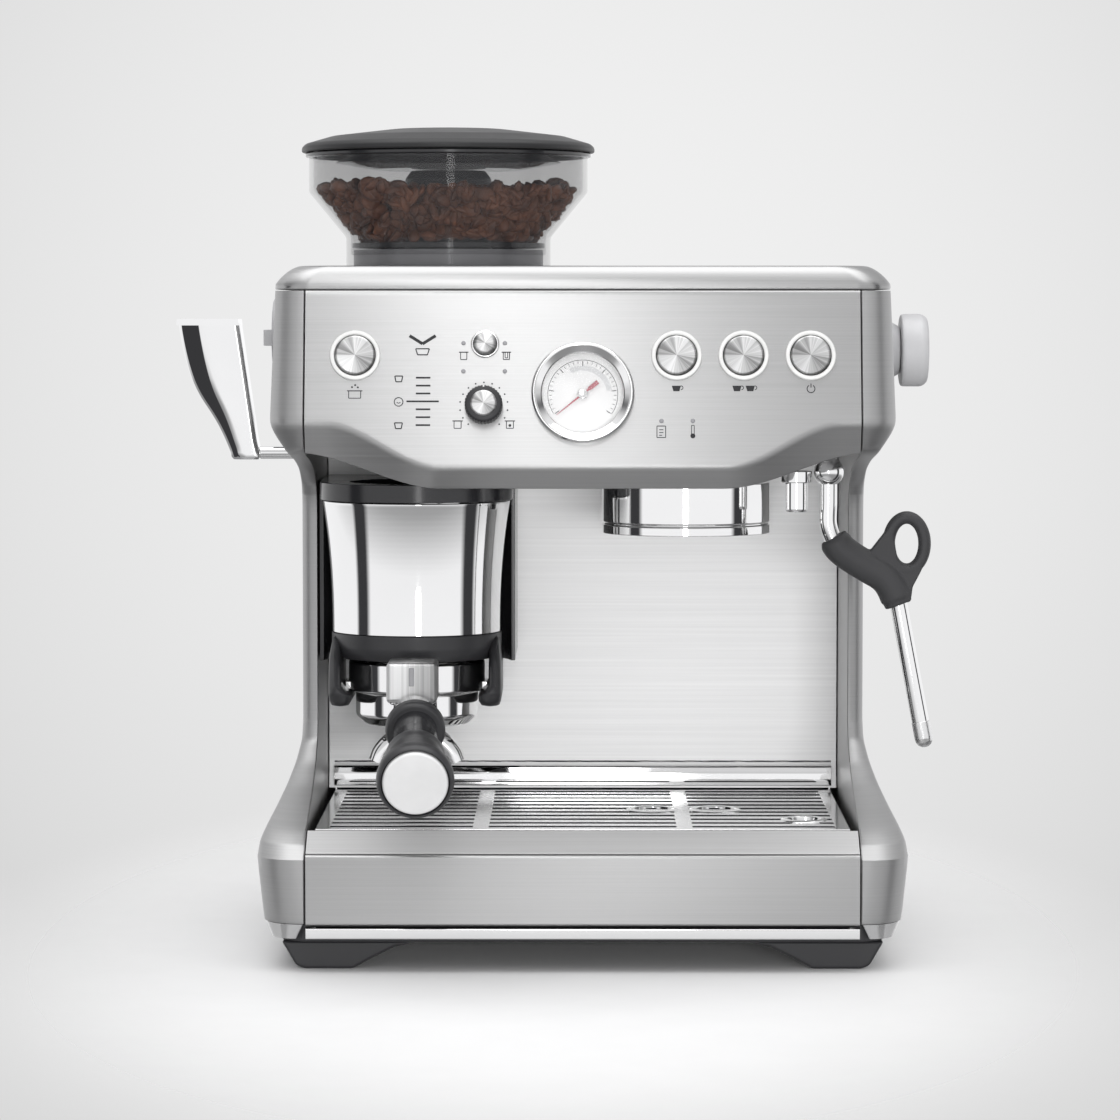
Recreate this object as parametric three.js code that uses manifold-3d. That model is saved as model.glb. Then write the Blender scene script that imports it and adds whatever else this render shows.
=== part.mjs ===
// Bean-to-cup espresso machine: one THREE.Mesh for each separate piece, in millimetres, +Z up.
// While it is built, x = 0 is the middle of the body, y = 0 is the front plane and y grows to the
// back. The last lines move the whole machine so that its origin is under the middle of its box.
import * as THREE from 'three';
import { mergeVertices } from 'three/addons/utils/BufferGeometryUtils.js';
import Module from 'manifold-3d';

const wasm = await Module();
wasm.setup();

// ---- driving dimensions ----
const GAP = 0.3;
const SKIN = 2;

const SEAM_X = 134.5;
const CHEEK_BACK = 256;
const BASE_TOP = 57;
const BASE_BOTTOM = 24;
const COLUMN_FRONT = 110;
const HEAD_TOP = 342.5;
const HEAD_SEAM = 330.6;
const DECK_FLOOR = 336;
const WALL_Y = 190;

const CREASE_LOW = 245;
const CREASE_HIGH = 266;
const LIP_LOW = 234.7;
const LIP_HIGH = 252;
const FASCIA_TILT = Math.atan2(18, HEAD_SEAM - CREASE_LOW);
const SHEET = 2.5;

const BUTTON_Z = 299;
const BUTTON_R = 9.6;
const RING_R = 12.3;
const FILTER_BUTTON = { x: -47.2, z: 304.6, r: 5.5 };
const DOSE_DIAL = { x: -47.7, z: 274.3, r: 9.2 };
const GAUGE = { x: 0, z: 281, rim: 24.8, glass: 19.3 };

const TOWER_X = -84;
const TOWER_Y = 100;
const SHROUD_R = 47.5;
const GROUP = { x: 52, y: 95, r: 42.4 };
const HOPPER = { x: -69, y: 140 };
const WAND = { x: 121.8, y: 60, z: 239 };
const LEVER_AXIS = { y: 100, z: 249 };
const TANK = { front: 263, back: 326, side: 95, top: 316, corner: 16 };

// ---- solids ----
// A closed geometry as a manifold solid, with its faces pointing out.
function solid(geometry) {
  const bare = geometry.index ? geometry.toNonIndexed() : geometry.clone();
  const points = new THREE.BufferGeometry();
  points.setAttribute('position', bare.getAttribute('position'));
  const merged = mergeVertices(points, 1e-4);
  const order = Array.from(merged.index.array);
  const kept = [];
  for (let i = 0; i < order.length; i += 3) {
    const [a, b, c] = order.slice(i, i + 3);
    if (a !== b && b !== c && c !== a) kept.push(a, b, c);
  }
  const build = (faces) => new wasm.Manifold(new wasm.Mesh({
    numProp: 3,
    vertProperties: merged.getAttribute('position').array,
    triVerts: new Uint32Array(faces),
  }));
  const made = build(kept);
  if (made.volume() > 0) return made;
  const turned = [];
  for (let i = 0; i < kept.length; i += 3) turned.push(kept[i], kept[i + 2], kept[i + 1]);
  return build(turned);
}

// A manifold solid back as a three.js geometry.
function geometryOf(body) {
  const data = body.getMesh();
  const geometry = new THREE.BufferGeometry();
  const points = [];
  for (let i = 0; i < data.vertProperties.length; i += data.numProp) {
    points.push(...data.vertProperties.slice(i, i + 3));
  }
  geometry.setAttribute('position', new THREE.Float32BufferAttribute(points, 3));
  geometry.setIndex(Array.from(data.triVerts));
  geometry.computeVertexNormals();
  return geometry;
}

// A profile of [radius, height] pairs spun about Z.
function lathe(profile, sides = 26) {
  const points = profile.map(([r, z]) => new THREE.Vector2(r, z));
  return new THREE.LatheGeometry(points, sides).rotateX(Math.PI / 2);
}

// A washer-like ring, closed on itself.
function ring(inner, outer, low, high, sides = 26) {
  return lathe([[inner, low], [outer, low], [outer, high], [inner, high], [inner, low]], sides);
}

// A solid round bar standing on Z, with its ends at low and high.
function bar(radius, low, high, sides = 20) {
  return lathe([[0, low], [radius, low], [radius, high], [0, high]], sides);
}

// A box between two corners.
function block(x0, x1, y0, y1, z0, z1) {
  return new THREE.BoxGeometry(x1 - x0, y1 - y0, z1 - z0)
    .translate((x0 + x1) / 2, (y0 + y1) / 2, (z0 + z1) / 2);
}

function outline(points) {
  return new THREE.Shape(points.map(([a, b]) => new THREE.Vector2(a, b)));
}

// An outline in X and Y raised from low to high.
function raised(points, low, high) {
  return new THREE.ExtrudeGeometry(outline(points), { depth: high - low, bevelEnabled: false })
    .translate(0, 0, low);
}

// An outline in Y and Z drawn out along X.
function acrossX(points, x0, x1) {
  const shape = new THREE.ExtrudeGeometry(outline(points), { depth: x1 - x0, bevelEnabled: false });
  const toYZ = new THREE.Matrix4().makeBasis(
    new THREE.Vector3(0, 1, 0), new THREE.Vector3(0, 0, 1), new THREE.Vector3(1, 0, 0));
  return shape.applyMatrix4(toYZ).translate(x0, 0, 0);
}

// An outline in X and Z drawn out along Y.
function acrossY(points, y0, y1) {
  return new THREE.ExtrudeGeometry(outline(points), { depth: y1 - y0, bevelEnabled: false })
    .rotateX(Math.PI / 2).translate(0, y1, 0);
}

// The two ends of a loft, as triangles that turn the way its sides do.
function endFaces(points, axes, first, reversed) {
  const flat = points.map((p) => new THREE.Vector2(p[axes[0]], p[axes[1]]));
  const turn = THREE.ShapeUtils.area(flat);
  return THREE.ShapeUtils.triangulateShape(flat, []).flatMap(([a, b, c]) => {
    const forward = THREE.ShapeUtils.area([flat[a], flat[b], flat[c]]) * turn > 0;
    const face = forward === reversed ? [a, c, b] : [a, b, c];
    return face.map((corner) => corner + first);
  });
}

// Closed rings of points, all of one length, skinned into one solid. The axes are those of its ends.
function loft(rings, axes) {
  const size = rings[0].length;
  const last = rings.length - 1;
  const faces = [];
  for (let k = 0; k < last; k += 1) {
    for (let i = 0; i < size; i += 1) {
      const a = k * size + i;
      const b = k * size + (i + 1) % size;
      faces.push(a, b, b + size, a, b + size, a + size);
    }
  }
  faces.push(...endFaces(rings[0], axes, 0, true));
  faces.push(...endFaces(rings[last], axes, last * size, false));
  const geometry = new THREE.BufferGeometry();
  geometry.setAttribute('position', new THREE.Float32BufferAttribute(rings.flat(2), 3));
  geometry.setIndex(faces);
  return geometry;
}

// A round tube through a few points.
function tubeThrough(points, radius, steps, sides = 5) {
  const path = new THREE.CatmullRomCurve3(points.map((p) => new THREE.Vector3(...p)), false, 'centripetal');
  const section = new THREE.Shape();
  section.absarc(0, 0, radius, 0, Math.PI * 2);
  return new THREE.ExtrudeGeometry(section, {
    extrudePath: path, steps, curveSegments: sides, bevelEnabled: false,
  });
}

// The value at x of a line through [x, value] keys.
function along(keys, x) {
  const next = keys.findIndex(([at]) => at >= x);
  if (next < 0) return keys[keys.length - 1][1];
  if (next === 0) return keys[0][1];
  const [x0, v0] = keys[next - 1];
  const [x1, v1] = keys[next];
  return v0 + (v1 - v0) * (x - x0) / (x1 - x0);
}

function mirrored(geometry) {
  return geometry.clone().scale(-1, 1, 1);
}

// ---- materials ----
const BRUSHED = { color: 0xb9b9ba, roughness: 0.38, metalness: 1 };
const POLISHED = { color: 0xd6d7d8, roughness: 0.08, metalness: 1 };
const BLACK = { color: 0x1c1c1e, roughness: 0.5, metalness: 0 };
const GREY = { color: 0x8f9194, roughness: 0.5, metalness: 0 };
const WHITE = { color: 0xf2f2f0, roughness: 0.4, metalness: 0 };
const RED = { color: 0x8c2430, roughness: 0.4, metalness: 0 };
const GREEN = { color: 0x2f6b46, roughness: 0.6, metalness: 0 };
const COPPER = { color: 0xa9714b, roughness: 0.45, metalness: 1 };
const SMOKE = { color: 0x55575a, roughness: 0.1, metalness: 0, transparent: true, opacity: 0.45 };
const CLEAR = { color: 0xffffff, roughness: 0.03, metalness: 0, transparent: true, opacity: 0.2 };

const group = new THREE.Group();

function add(name, shape, look, parent = group) {
  const geometry = shape.isBufferGeometry ? geometryOf(solid(shape)) : geometryOf(shape);
  const mesh = new THREE.Mesh(geometry, new THREE.MeshStandardMaterial(look));
  mesh.name = name;
  parent.add(mesh);
  return mesh;
}

// ---- side panels ----
// Seen from the side each one is a C: a base, a narrow column and a head. The keys are [z, value].
const FRONT_EDGE = [
  [BASE_BOTTOM, 0], [BASE_TOP, 0], [62, 7], [68, 18], [75, 42], [83, 71], [92, 92], [102, 106],
  [112, COLUMN_FRONT], [225, COLUMN_FRONT], [234, 104], [241, 88], [246, 60], [249.5, 30],
  [252, 12], [CREASE_HIGH, 4.4], [HEAD_SEAM, 18], [HEAD_TOP, 21],
];
const OUTER_SIDE = [
  [BASE_BOTTOM, 155.5], [BASE_TOP, 159], [62, 158], [68, 155.5], [75, 152], [83, 148.6],
  [92, 145.6], [102, 143.4], [112, 143], [249.5, 143], [252, 143.6], [259, 148.6],
  [CREASE_HIGH, 152], [HEAD_SEAM, 150], [334.5, 149.6], [HEAD_TOP, 137],
];
const CORNER_R = 20;
const CORNER_STEPS = 5;
const CHEEK_INNER = SEAM_X + GAP;

function cheekLevels(low, high) {
  const levels = [...FRONT_EDGE, ...OUTER_SIDE].map(([z]) => z).filter((z) => z > low && z < high);
  return [low, ...new Set(levels.sort((a, b) => a - b)), high];
}

// The panel's outline in plan at a height, drawn in by a wall.
function cheekRing(z, wall) {
  const around = [z - wall, z, z + wall];
  const front = Math.max(...around.map((h) => along(FRONT_EDGE, h))) + wall;
  const outer = Math.min(...around.map((h) => along(OUTER_SIDE, h))) - wall;
  const inner = CHEEK_INNER + wall;
  const back = CHEEK_BACK - wall;
  const radius = Math.min(CORNER_R, outer - inner - 0.4);
  const points = [[inner, front, z]];
  for (let k = 0; k <= CORNER_STEPS; k += 1) {
    const turn = (k / CORNER_STEPS) * Math.PI / 2;
    points.push([outer - radius + radius * Math.sin(turn), front + radius - radius * Math.cos(turn), z]);
  }
  points.push([outer, back - 3, z], [outer - Math.min(3, radius), back, z], [inner, back, z]);
  return points;
}

function sidePanel() {
  const shell = loft(cheekLevels(BASE_BOTTOM, HEAD_TOP).map((z) => cheekRing(z, 0)), [0, 1]);
  const hollow = loft(cheekLevels(BASE_BOTTOM + SKIN, 332).map((z) => cheekRing(z, SKIN)), [0, 1]);
  const open = block(CHEEK_INNER - 1, CHEEK_INNER + SKIN + 1, WALL_Y + 12, CHEEK_BACK - 8, 40, 320);
  return solid(shell).subtract(solid(hollow).add(solid(open)));
}

// ---- head ----
const smooth = (t) => THREE.MathUtils.smoothstep(t, 0, 1);
const creaseZ = (x) => CREASE_LOW + (CREASE_HIGH - CREASE_LOW) * smooth((Math.abs(x) - 70) / 55);
const lipZ = (x) => LIP_LOW + (LIP_HIGH - LIP_LOW) * smooth((Math.abs(x) - 68) / 72);
const fasciaY = (z) => (z - CREASE_LOW) * Math.tan(FASCIA_TILT);
const LIP_BACK = 6;

// Stations across the width, closer together where the lower edge rises.
function stations() {
  const half = [0, 66, 74, 81, 88, 95, 102, 109, 116, 124, SEAM_X - GAP];
  return [...half.slice(1).map((x) => -x).reverse(), ...half];
}

// A shape whose local Z stands out of the tilted front panel at a place on it.
function onFascia(geometry, x, z) {
  const facing = new THREE.Matrix4().makeRotationX(Math.PI / 2 - FASCIA_TILT);
  return geometry.applyMatrix4(facing).translate(x, fasciaY(z), z);
}

function frontPanel() {
  const top = HEAD_SEAM - GAP;
  const sheet = loft(stations().map((x) => {
    const crease = creaseZ(x);
    const y = fasciaY(crease);
    return [
      [x, fasciaY(top), top], [x, y, crease], [x, y + LIP_BACK, lipZ(x)],
      [x, y + LIP_BACK + SHEET, lipZ(x) + 0.8], [x, y + SHEET, crease + 0.4],
      [x, fasciaY(top) + SHEET, top],
    ];
  }), [1, 2]);
  const hole = (radius, x, z) => solid(onFascia(bar(radius, -12, 12), x, z));
  let panel = solid(sheet).subtract(hole(22.3, GAUGE.x, GAUGE.z));
  BUTTONS.forEach(({ x }) => { panel = panel.subtract(hole(BUTTON_R + 0.6, x, BUTTON_Z)); });
  panel = panel.subtract(hole(FILTER_BUTTON.r + 0.5, FILTER_BUTTON.x, FILTER_BUTTON.z));
  return panel.subtract(hole(4, DOSE_DIAL.x, DOSE_DIAL.z));
}

function headUnderside() {
  const back = WALL_Y - 0.5;
  return loft(stations().map((x) => [
    [x, 14, lipZ(x)], [x, back, lipZ(x)], [x, back, lipZ(x) + SKIN], [x, 14, lipZ(x) + SKIN],
  ]), [1, 2]);
}

function topCap() {
  const edge = SEAM_X - GAP;
  const low = HEAD_SEAM + GAP;
  const slab = acrossX([
    [18.6, low], [20.2, 339], [23, HEAD_TOP], [252, HEAD_TOP], [255.7, 339], [255.7, low],
  ], -edge, edge);
  const pocket = block(-127, 127, 34, 246, DECK_FLOOR, HEAD_TOP + 1);
  const throat = bar(38, low - 1, HEAD_TOP + 1, 32).translate(HOPPER.x, HOPPER.y, 0);
  return solid(slab).subtract(solid(pocket)).subtract(solid(throat));
}

// ---- controls on the front panel ----
const BUTTONS = [
  { name: 'dose', x: -110 },
  { name: 'one_cup', x: 45.3 },
  { name: 'two_cup', x: 77.6 },
  { name: 'power', x: 110 },
];

function addButtons() {
  BUTTONS.forEach(({ name, x }) => {
    const trim = ring(BUTTON_R + 0.4, RING_R, GAP, 1.7);
    add(`ring_${name}`, onFascia(trim, x, BUTTON_Z), WHITE);
    const cap = lathe([[0, -7], [BUTTON_R, -7], [BUTTON_R, 1.9], [BUTTON_R - 0.7, 2.4], [0, 2.4]]);
    add(`button_${name}`, onFascia(cap, x, BUTTON_Z), BRUSHED);
  });
  const { x, z, r } = FILTER_BUTTON;
  add('button_filter', onFascia(lathe([[0, -7], [r, -7], [r, 2.6], [r - 1, 3.2], [0, 3.2]], 24), x, z), POLISHED);
}

function doseDial() {
  const { r, x, z } = DOSE_DIAL;
  return onFascia(lathe([[0, -6], [3, -6], [3, 0.6], [r, 0.6], [r, 8], [r - 1, 9.4], [0, 9.4]]), x, z);
}

function addGauge() {
  const { rim, glass, x, z } = GAUGE;
  const bezel = lathe([
    [glass + 0.3, GAP], [rim, GAP], [rim, 2.4], [rim - 2, 4.2], [glass + 0.3, 2.6], [glass + 0.3, GAP],
  ], 30);
  add('gauge_bezel', onFascia(bezel, x, z), POLISHED);
  add('gauge_body', onFascia(bar(21.5, -20, -3), x, z), WHITE);
  add('gauge_lens', onFascia(bar(glass, GAP + 0.4, 1.8, 32), x, z), CLEAR);
  const blade = block(-1.1, 1.1, -9, 17, -1.7, -1.1).rotateZ(THREE.MathUtils.degToRad(129));
  const needle = solid(blade).add(solid(bar(2.7, -2.4, -0.6, 16)));
  add('gauge_needle', geometryOf(needle).applyMatrix4(
    new THREE.Matrix4().makeRotationX(Math.PI / 2 - FASCIA_TILT)).translate(x, fasciaY(z), z), RED);
}

// ---- grinder and tamping ----
function towerCover() {
  const bite = SHROUD_R + 0.8;
  const half = bite + 1.3;
  const start = Math.asin(8 / bite);
  const points = [[TOWER_X - half, WALL_Y - GAP], [TOWER_X - half, TOWER_Y + 8]];
  for (let k = 0; k <= 16; k += 1) {
    const turn = Math.PI - start - (k / 16) * (Math.PI - 2 * start);
    points.push([TOWER_X + bite * Math.cos(turn), TOWER_Y + bite * Math.sin(turn)]);
  }
  points.push([TOWER_X + half, TOWER_Y + 8], [TOWER_X + half, WALL_Y - GAP]);
  const back = solid(raised(points, 143, LIP_LOW - GAP));
  const collar = ring(34, bite + 0.6, 225.6, LIP_LOW - GAP, 40).translate(TOWER_X, TOWER_Y, 0);
  return back.add(solid(collar));
}

function dosingShroud() {
  const wall = 2.5;
  const outer = [[43, 159.3], [43.2, 176], [44.2, 196], [45.8, 214], [SHROUD_R, 225.2]];
  const inner = outer.map(([r, z]) => [r - wall, z]).reverse();
  return lathe([...outer, ...inner, outer[0]], 36).translate(TOWER_X, TOWER_Y, 0);
}

// The black collar under the shroud, with two arms whose ledges hold the portafilter.
function cradle() {
  let body = solid(ring(36.8, 43, 145, 159, 40));
  [-1, 1].forEach((side) => {
    const arm = block(37, 43, -32, 18, 125, 147);
    const ledge = block(31.6, 37.5, -26, 18, 125, 128.6);
    [arm, ledge].forEach((piece) => {
      body = body.add(solid(side > 0 ? piece : mirrored(piece)));
    });
  });
  return geometryOf(body).translate(TOWER_X, TOWER_Y, 0);
}

function tamper() {
  return lathe([[0, 161], [25.4, 161], [26, 162], [26, 167], [9, 170], [8, 222], [0, 222]])
    .translate(TOWER_X, TOWER_Y, 0);
}

// A shiny paddle on the left, standing on a stub shaft that turns in the side panel.
function lever() {
  const paddle = acrossY([
    [-176.5, 246], [-161.5, 246], [-163.4, 254], [-173, 316.4], [-204, 316.4], [-202.6, 306],
    [-199.4, 292], [-195.3, 280], [-185.6, 268],
  ], LEVER_AXIS.y - 12, LEVER_AXIS.y + 12);
  const shaft = bar(3.2, -162.5, -145.6, 16).rotateY(Math.PI / 2)
    .translate(0, LEVER_AXIS.y, LEVER_AXIS.z);
  return solid(paddle).add(solid(shaft));
}

// ---- portafilter ----
const HANDLE_START = new THREE.Vector3(TOWER_X + 0.4, 70, 132.3);
const HANDLE_END = new THREE.Vector3(-78, -70, 100);

// A shape built along Z, laid along the handle with its zero at the bowl.
function onHandle(geometry) {
  const direction = HANDLE_END.clone().sub(HANDLE_START).normalize();
  const turn = new THREE.Quaternion().setFromUnitVectors(new THREE.Vector3(0, 0, 1), direction);
  return geometry.applyQuaternion(turn).translate(...HANDLE_START.toArray());
}

function portafilterBody() {
  const bowl = lathe([
    [0, 112], [27, 112], [31, 116], [31, 129], [34.5, 129], [34.5, 144.3], [29.6, 144.3],
    [29.6, 118], [0, 116],
  ], 36).translate(TOWER_X, TOWER_Y, 0);
  let body = solid(bowl);
  [-1, 1].forEach((side) => {
    const ear = block(33.5, 36.2, -9, 9, 129.4, 134);
    const placed = (side > 0 ? ear : mirrored(ear)).translate(TOWER_X, TOWER_Y, 0);
    body = body.add(solid(placed));
  });
  const neck = onHandle(lathe([[0, 2], [9, 2], [8, 10], [8, 22], [10.5, 24], [10.5, 30], [0, 30]], 24));
  return body.add(solid(neck));
}

function portafilterHandle() {
  return onHandle(lathe([
    [0, 30.6], [11, 30.6], [14.5, 33], [14.5, 41], [11.6, 45], [12.2, 60], [13.6, 80], [15.6, 104],
    [17.8, 126], [18.6, 136], [18, 141], [16.4, 142.4], [16.1, 139], [0, 139],
  ]));
}

function spouts() {
  let body = solid(bar(8.5, 102, 111.6));
  [-1, 1].forEach((side) => {
    const branch = bar(5.4, -18, 0, 16).rotateY(-side * 0.72).translate(0, 0, 107);
    body = body.add(solid(branch));
  });
  return geometryOf(body).translate(TOWER_X, TOWER_Y, 0);
}

function filterBasket() {
  return lathe([
    [0, 118.5], [25.5, 118.5], [29.2, 121], [29.2, 144.6], [28.2, 144.6], [28.2, 121.6],
    [25, 119.6], [0, 119.6],
  ], 36).translate(TOWER_X, TOWER_Y, 0);
}

// ---- brewing, water and steam ----
function groupHead() {
  const top = LIP_LOW - GAP;
  return lathe([
    [0, 225], [36, 225], [36, 209], [GROUP.r, 209], [GROUP.r, top], [0, top],
  ], 36).translate(GROUP.x, GROUP.y, 0);
}

const WAND_PATH = [
  [WAND.x, WAND.y, WAND.z], [WAND.x, WAND.y, 214], [127, WAND.y, 203], [149, WAND.y, 189],
  [156.5, WAND.y, 176], [170.5, WAND.y, 104],
];
const GRIP_PATH = [[124, WAND.y, 207], [133, WAND.y, 198.5], [149, WAND.y, 189], [157, WAND.y, 174]];
const FINGER_RING = { x: 159.5, z: 205, wide: 12.6, tall: 15.4, holeWide: 6, holeTall: 10 };

function steamWand() {
  const ball = new THREE.SphereGeometry(7.5, 20, 12).translate(WAND.x, WAND.y, WAND.z + 2);
  return solid(tubeThrough(WAND_PATH, 4.2, 20)).add(solid(ball));
}

function wandGrip() {
  const { x, z, wide, tall, holeWide, holeTall } = FINGER_RING;
  const loop = new THREE.Shape();
  loop.absellipse(0, 0, wide, tall, 0, Math.PI * 2);
  const hole = new THREE.Path();
  hole.absellipse(0, 0, holeWide, holeTall, 0, Math.PI * 2);
  loop.holes.push(hole);
  const eye = new THREE.ExtrudeGeometry(loop, { depth: 8, bevelEnabled: false, curveSegments: 10 })
    .rotateX(Math.PI / 2).translate(x, WAND.y + 4, z);
  return solid(tubeThrough(GRIP_PATH, 8, 8)).add(solid(eye))
    .subtract(solid(tubeThrough(WAND_PATH, 4.9, 20)));
}

// A dial whose local Z points out of one side of the machine.
function onSide(geometry, side, x, y, z) {
  return geometry.rotateY(side * Math.PI / 2).translate(side * x, y, z);
}

function grindDial() {
  const knob = solid(lathe([[0, 0], [20, 0], [20, 3.4], [19, 4.2], [0, 4.2]]));
  const grip = solid(block(-4, 4, -19, 19, 3, 8.2));
  return onSide(geometryOf(knob.add(grip)), -1, 152.2, 110, 307);
}

// ---- bean hopper ----
function hopper() {
  return lathe([
    [27, 342.4], [52.5, 342.4], [52.5, 358], [71.5, 381], [71.5, 400.6], [68.6, 400.6], [68.6, 382],
    [49.6, 359.2], [49.6, 349], [27, 346], [27, 342.4],
  ], 24).translate(HOPPER.x, HOPPER.y, 0);
}

function hopperLid() {
  return lathe([
    [0, 410], [60, 405.4], [65, 402], [65, 391], [67.4, 391], [67.4, 401.2], [75, 401.2], [75, 403.6],
    [73, 405.6], [60, 409.4], [30, 413], [0, 414],
  ], 24).translate(HOPPER.x, HOPPER.y, 0);
}

// ---- base, drip tray and tank ----
function basePan() {
  const tankSide = TANK.side + 4;
  return raised([
    [-136, 8], [136, 8], [146, 14], [148.5, 24], [148.5, 252], [tankSide, 252], [tankSide, 328],
    [-tankSide, 328], [-tankSide, 252], [-148.5, 252], [-148.5, 24], [-146, 14],
  ], 14, BASE_BOTTOM - GAP);
}

function foot() {
  return acrossY([
    [112, 0], [136, 0], [140, 1.6], [147, 13.7], [78, 13.7], [92, 10.5], [103, 5],
  ], 0, 44);
}

function addFeet() {
  [['front', 14], ['rear', 200]].forEach(([place, y]) => {
    [['left', -1], ['right', 1]].forEach(([hand, side]) => {
      const shape = side > 0 ? foot() : mirrored(foot());
      add(`foot_${place}_${hand}`, shape.translate(0, y, 0), BLACK);
    });
  });
}

function trayFront() {
  const edge = SEAM_X - GAP;
  return acrossX([
    [0, 16.5], [0, 21.2], [1.4, 21.8], [1.4, 23], [0, 23.6], [0, BASE_TOP], [18, 67.6], [18, 65],
    [2.5, 55.8], [2.5, 16.5],
  ], -edge, edge);
}

function dripTray() {
  const pan = block(-131, 131, 18.5, 186, BASE_BOTTOM + GAP, 64.2);
  const inside = block(-128.5, 128.5, 21, 183.5, BASE_BOTTOM + GAP + 2.5, 66);
  return solid(pan).subtract(solid(inside));
}

const FLOAT = { x: 110, y: 57 };
const SLOT_ROWS = 11;
const SLOT_PITCH = 14.6;
const SLOT_SPANS = [[-124, -54], [-46, 46], [54, 124]];

function dripGrate() {
  let plate = solid(block(-130.6, 130.6, 18.8, 186, 64.6, 68));
  for (let row = 0; row < SLOT_ROWS; row += 1) {
    const y = 29.5 + row * SLOT_PITCH;
    SLOT_SPANS.forEach(([x0, x1]) => {
      plate = plate.subtract(solid(block(x0, x1, y - 3.5, y + 3.5, 60, 70)));
    });
  }
  return plate.subtract(solid(bar(9, 60, 70, 24).translate(FLOAT.x, FLOAT.y, 0)));
}

// The tank's outline in plan, drawn in by an inset, with its two rear corners rounded.
function tankPlan(inset) {
  const side = TANK.side - inset;
  const back = TANK.back - inset;
  const radius = TANK.corner - inset;
  const points = [[-side, TANK.front + inset], [side, TANK.front + inset]];
  for (let k = 0; k <= 5; k += 1) {
    const turn = (k / 5) * Math.PI / 2;
    points.push([side - radius + radius * Math.cos(turn), back - radius + radius * Math.sin(turn)]);
  }
  for (let k = 0; k <= 5; k += 1) {
    const turn = (k / 5) * Math.PI / 2;
    points.push([-side + radius - radius * Math.sin(turn), back - radius + radius * Math.cos(turn)]);
  }
  return points;
}

function waterTank() {
  const outside = raised(tankPlan(0), BASE_BOTTOM + GAP, TANK.top);
  const inside = raised(tankPlan(2.5), BASE_BOTTOM + 3, TANK.top + 1);
  return solid(outside).subtract(solid(inside));
}

// The lid has a lip that drops just inside the tank's wall.
function tankLid() {
  const plate = raised(tankPlan(-0.5), TANK.top + GAP, TANK.top + 5);
  const lip = raised(tankPlan(6), TANK.top - 3, TANK.top + 1);
  return solid(plate).add(solid(lip));
}

// ---- the machine ----
add('base_pan', basePan(), BLACK);
addFeet();
add('side_panel_right', sidePanel(), BRUSHED);
add('side_panel_left', mirrored(geometryOf(sidePanel())), BRUSHED);
add('front_panel', frontPanel(), BRUSHED);
add('top_cap', topCap(), BRUSHED);
add('head_underside', headUnderside(), BRUSHED);
add('back_wall', acrossX([
  [186.8, 68.6], [188.6, 68.6], [191.5, 78], [191.5, 300], [WALL_Y, 300], [WALL_Y, 79],
], -SEAM_X + GAP, SEAM_X - GAP), POLISHED);
add('rear_panel', block(-SEAM_X + GAP, SEAM_X - GAP, 254, 255.7, BASE_BOTTOM, HEAD_SEAM), BLACK);
add('cord_gland', lathe([[0, 0], [11, 0], [11, 3], [7, 4], [7, 12], [3.6, 12], [3.6, 2], [0, 2]], 20)
  .rotateX(-Math.PI / 2).translate(115, CHEEK_BACK, 45), BLACK);
addButtons();
add('dose_dial', doseDial(), BLACK);
addGauge();
add('tower_cover', towerCover(), BLACK);
add('dosing_shroud', dosingShroud(), POLISHED);
add('cradle', cradle(), BLACK);
add('tamper', tamper(), POLISHED);
add('tamp_lever', lever(), POLISHED);
add('portafilter', portafilterBody(), POLISHED);
add('portafilter_handle', portafilterHandle(), BLACK);
add('handle_cap', onHandle(lathe([[0, 139.4], [15.7, 139.4], [15.7, 141.6], [14.6, 142.6], [0, 143.4]])), BRUSHED);
add('portafilter_spout', spouts(), POLISHED);
add('filter_basket', filterBasket(), POLISHED);
add('group_head', groupHead(), POLISHED);
add('shower_screen', bar(28, 220.5, 224.6, 32).translate(GROUP.x, GROUP.y, 0), POLISHED);
add('hot_water_spout', ring(3, 5.5, 221, 241.6, 16).translate(106, WAND.y, 0), POLISHED);
add('steam_wand', steamWand(), POLISHED);
add('wand_grip', wandGrip(), BLACK);
add('steam_escutcheon', onSide(lathe([[0, 0], [15, 0], [15, 3], [12, 8], [0, 8]]), 1, 152.2, 110, 300.6), BLACK);
add('steam_dial', onSide(lathe([[0, 0], [18.5, 0], [18.5, 12], [17, 13.9], [0, 13.9]]), 1, 160.5, 110, 300.6), GREY);
add('grind_dial', grindDial(), GREY);
add('hopper_collar', ring(38, 57, DECK_FLOOR + GAP, 342, 40).translate(HOPPER.x, HOPPER.y, 0), GREY);
add('hopper', hopper(), SMOKE);
add('hopper_lock', ring(16, 22, 349.5, 392, 24).translate(HOPPER.x, HOPPER.y, 0), BLACK);
add('hopper_lid', hopperLid(), BLACK);
add('grinder_motor', bar(30, 247, 290).translate(HOPPER.x, HOPPER.y, 0), GREY);
add('burr_lower', lathe([[0, 291], [24, 291], [24, 297], [8, 312], [0, 312]], 24)
  .translate(HOPPER.x, HOPPER.y, 0), BRUSHED);
add('heater', bar(34, 241, 300).translate(GROUP.x, GROUP.y + 12, 0), COPPER);
add('pump', bar(22, -35, 35).rotateY(Math.PI / 2).translate(-25, 222, 60), BLACK);
add('control_board', block(-20, 128, 50, 52, 264, 326), GREEN);
add('drip_tray', dripTray(), BLACK);
add('tray_front', trayFront(), BRUSHED);
add('drip_grate', dripGrate(), POLISHED);
add('tray_float', bar(6.5, 28, 62, 20).translate(FLOAT.x, FLOAT.y, 0), RED);
add('water_tank', waterTank(), SMOKE);
add('tank_lid', tankLid(), BLACK);

// The origin goes under the middle of the whole machine.
const box = new THREE.Box3().setFromObject(group);
group.position.set(-(box.min.x + box.max.x) / 2, -(box.min.y + box.max.y) / 2, -box.min.z);

export default group;
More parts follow.
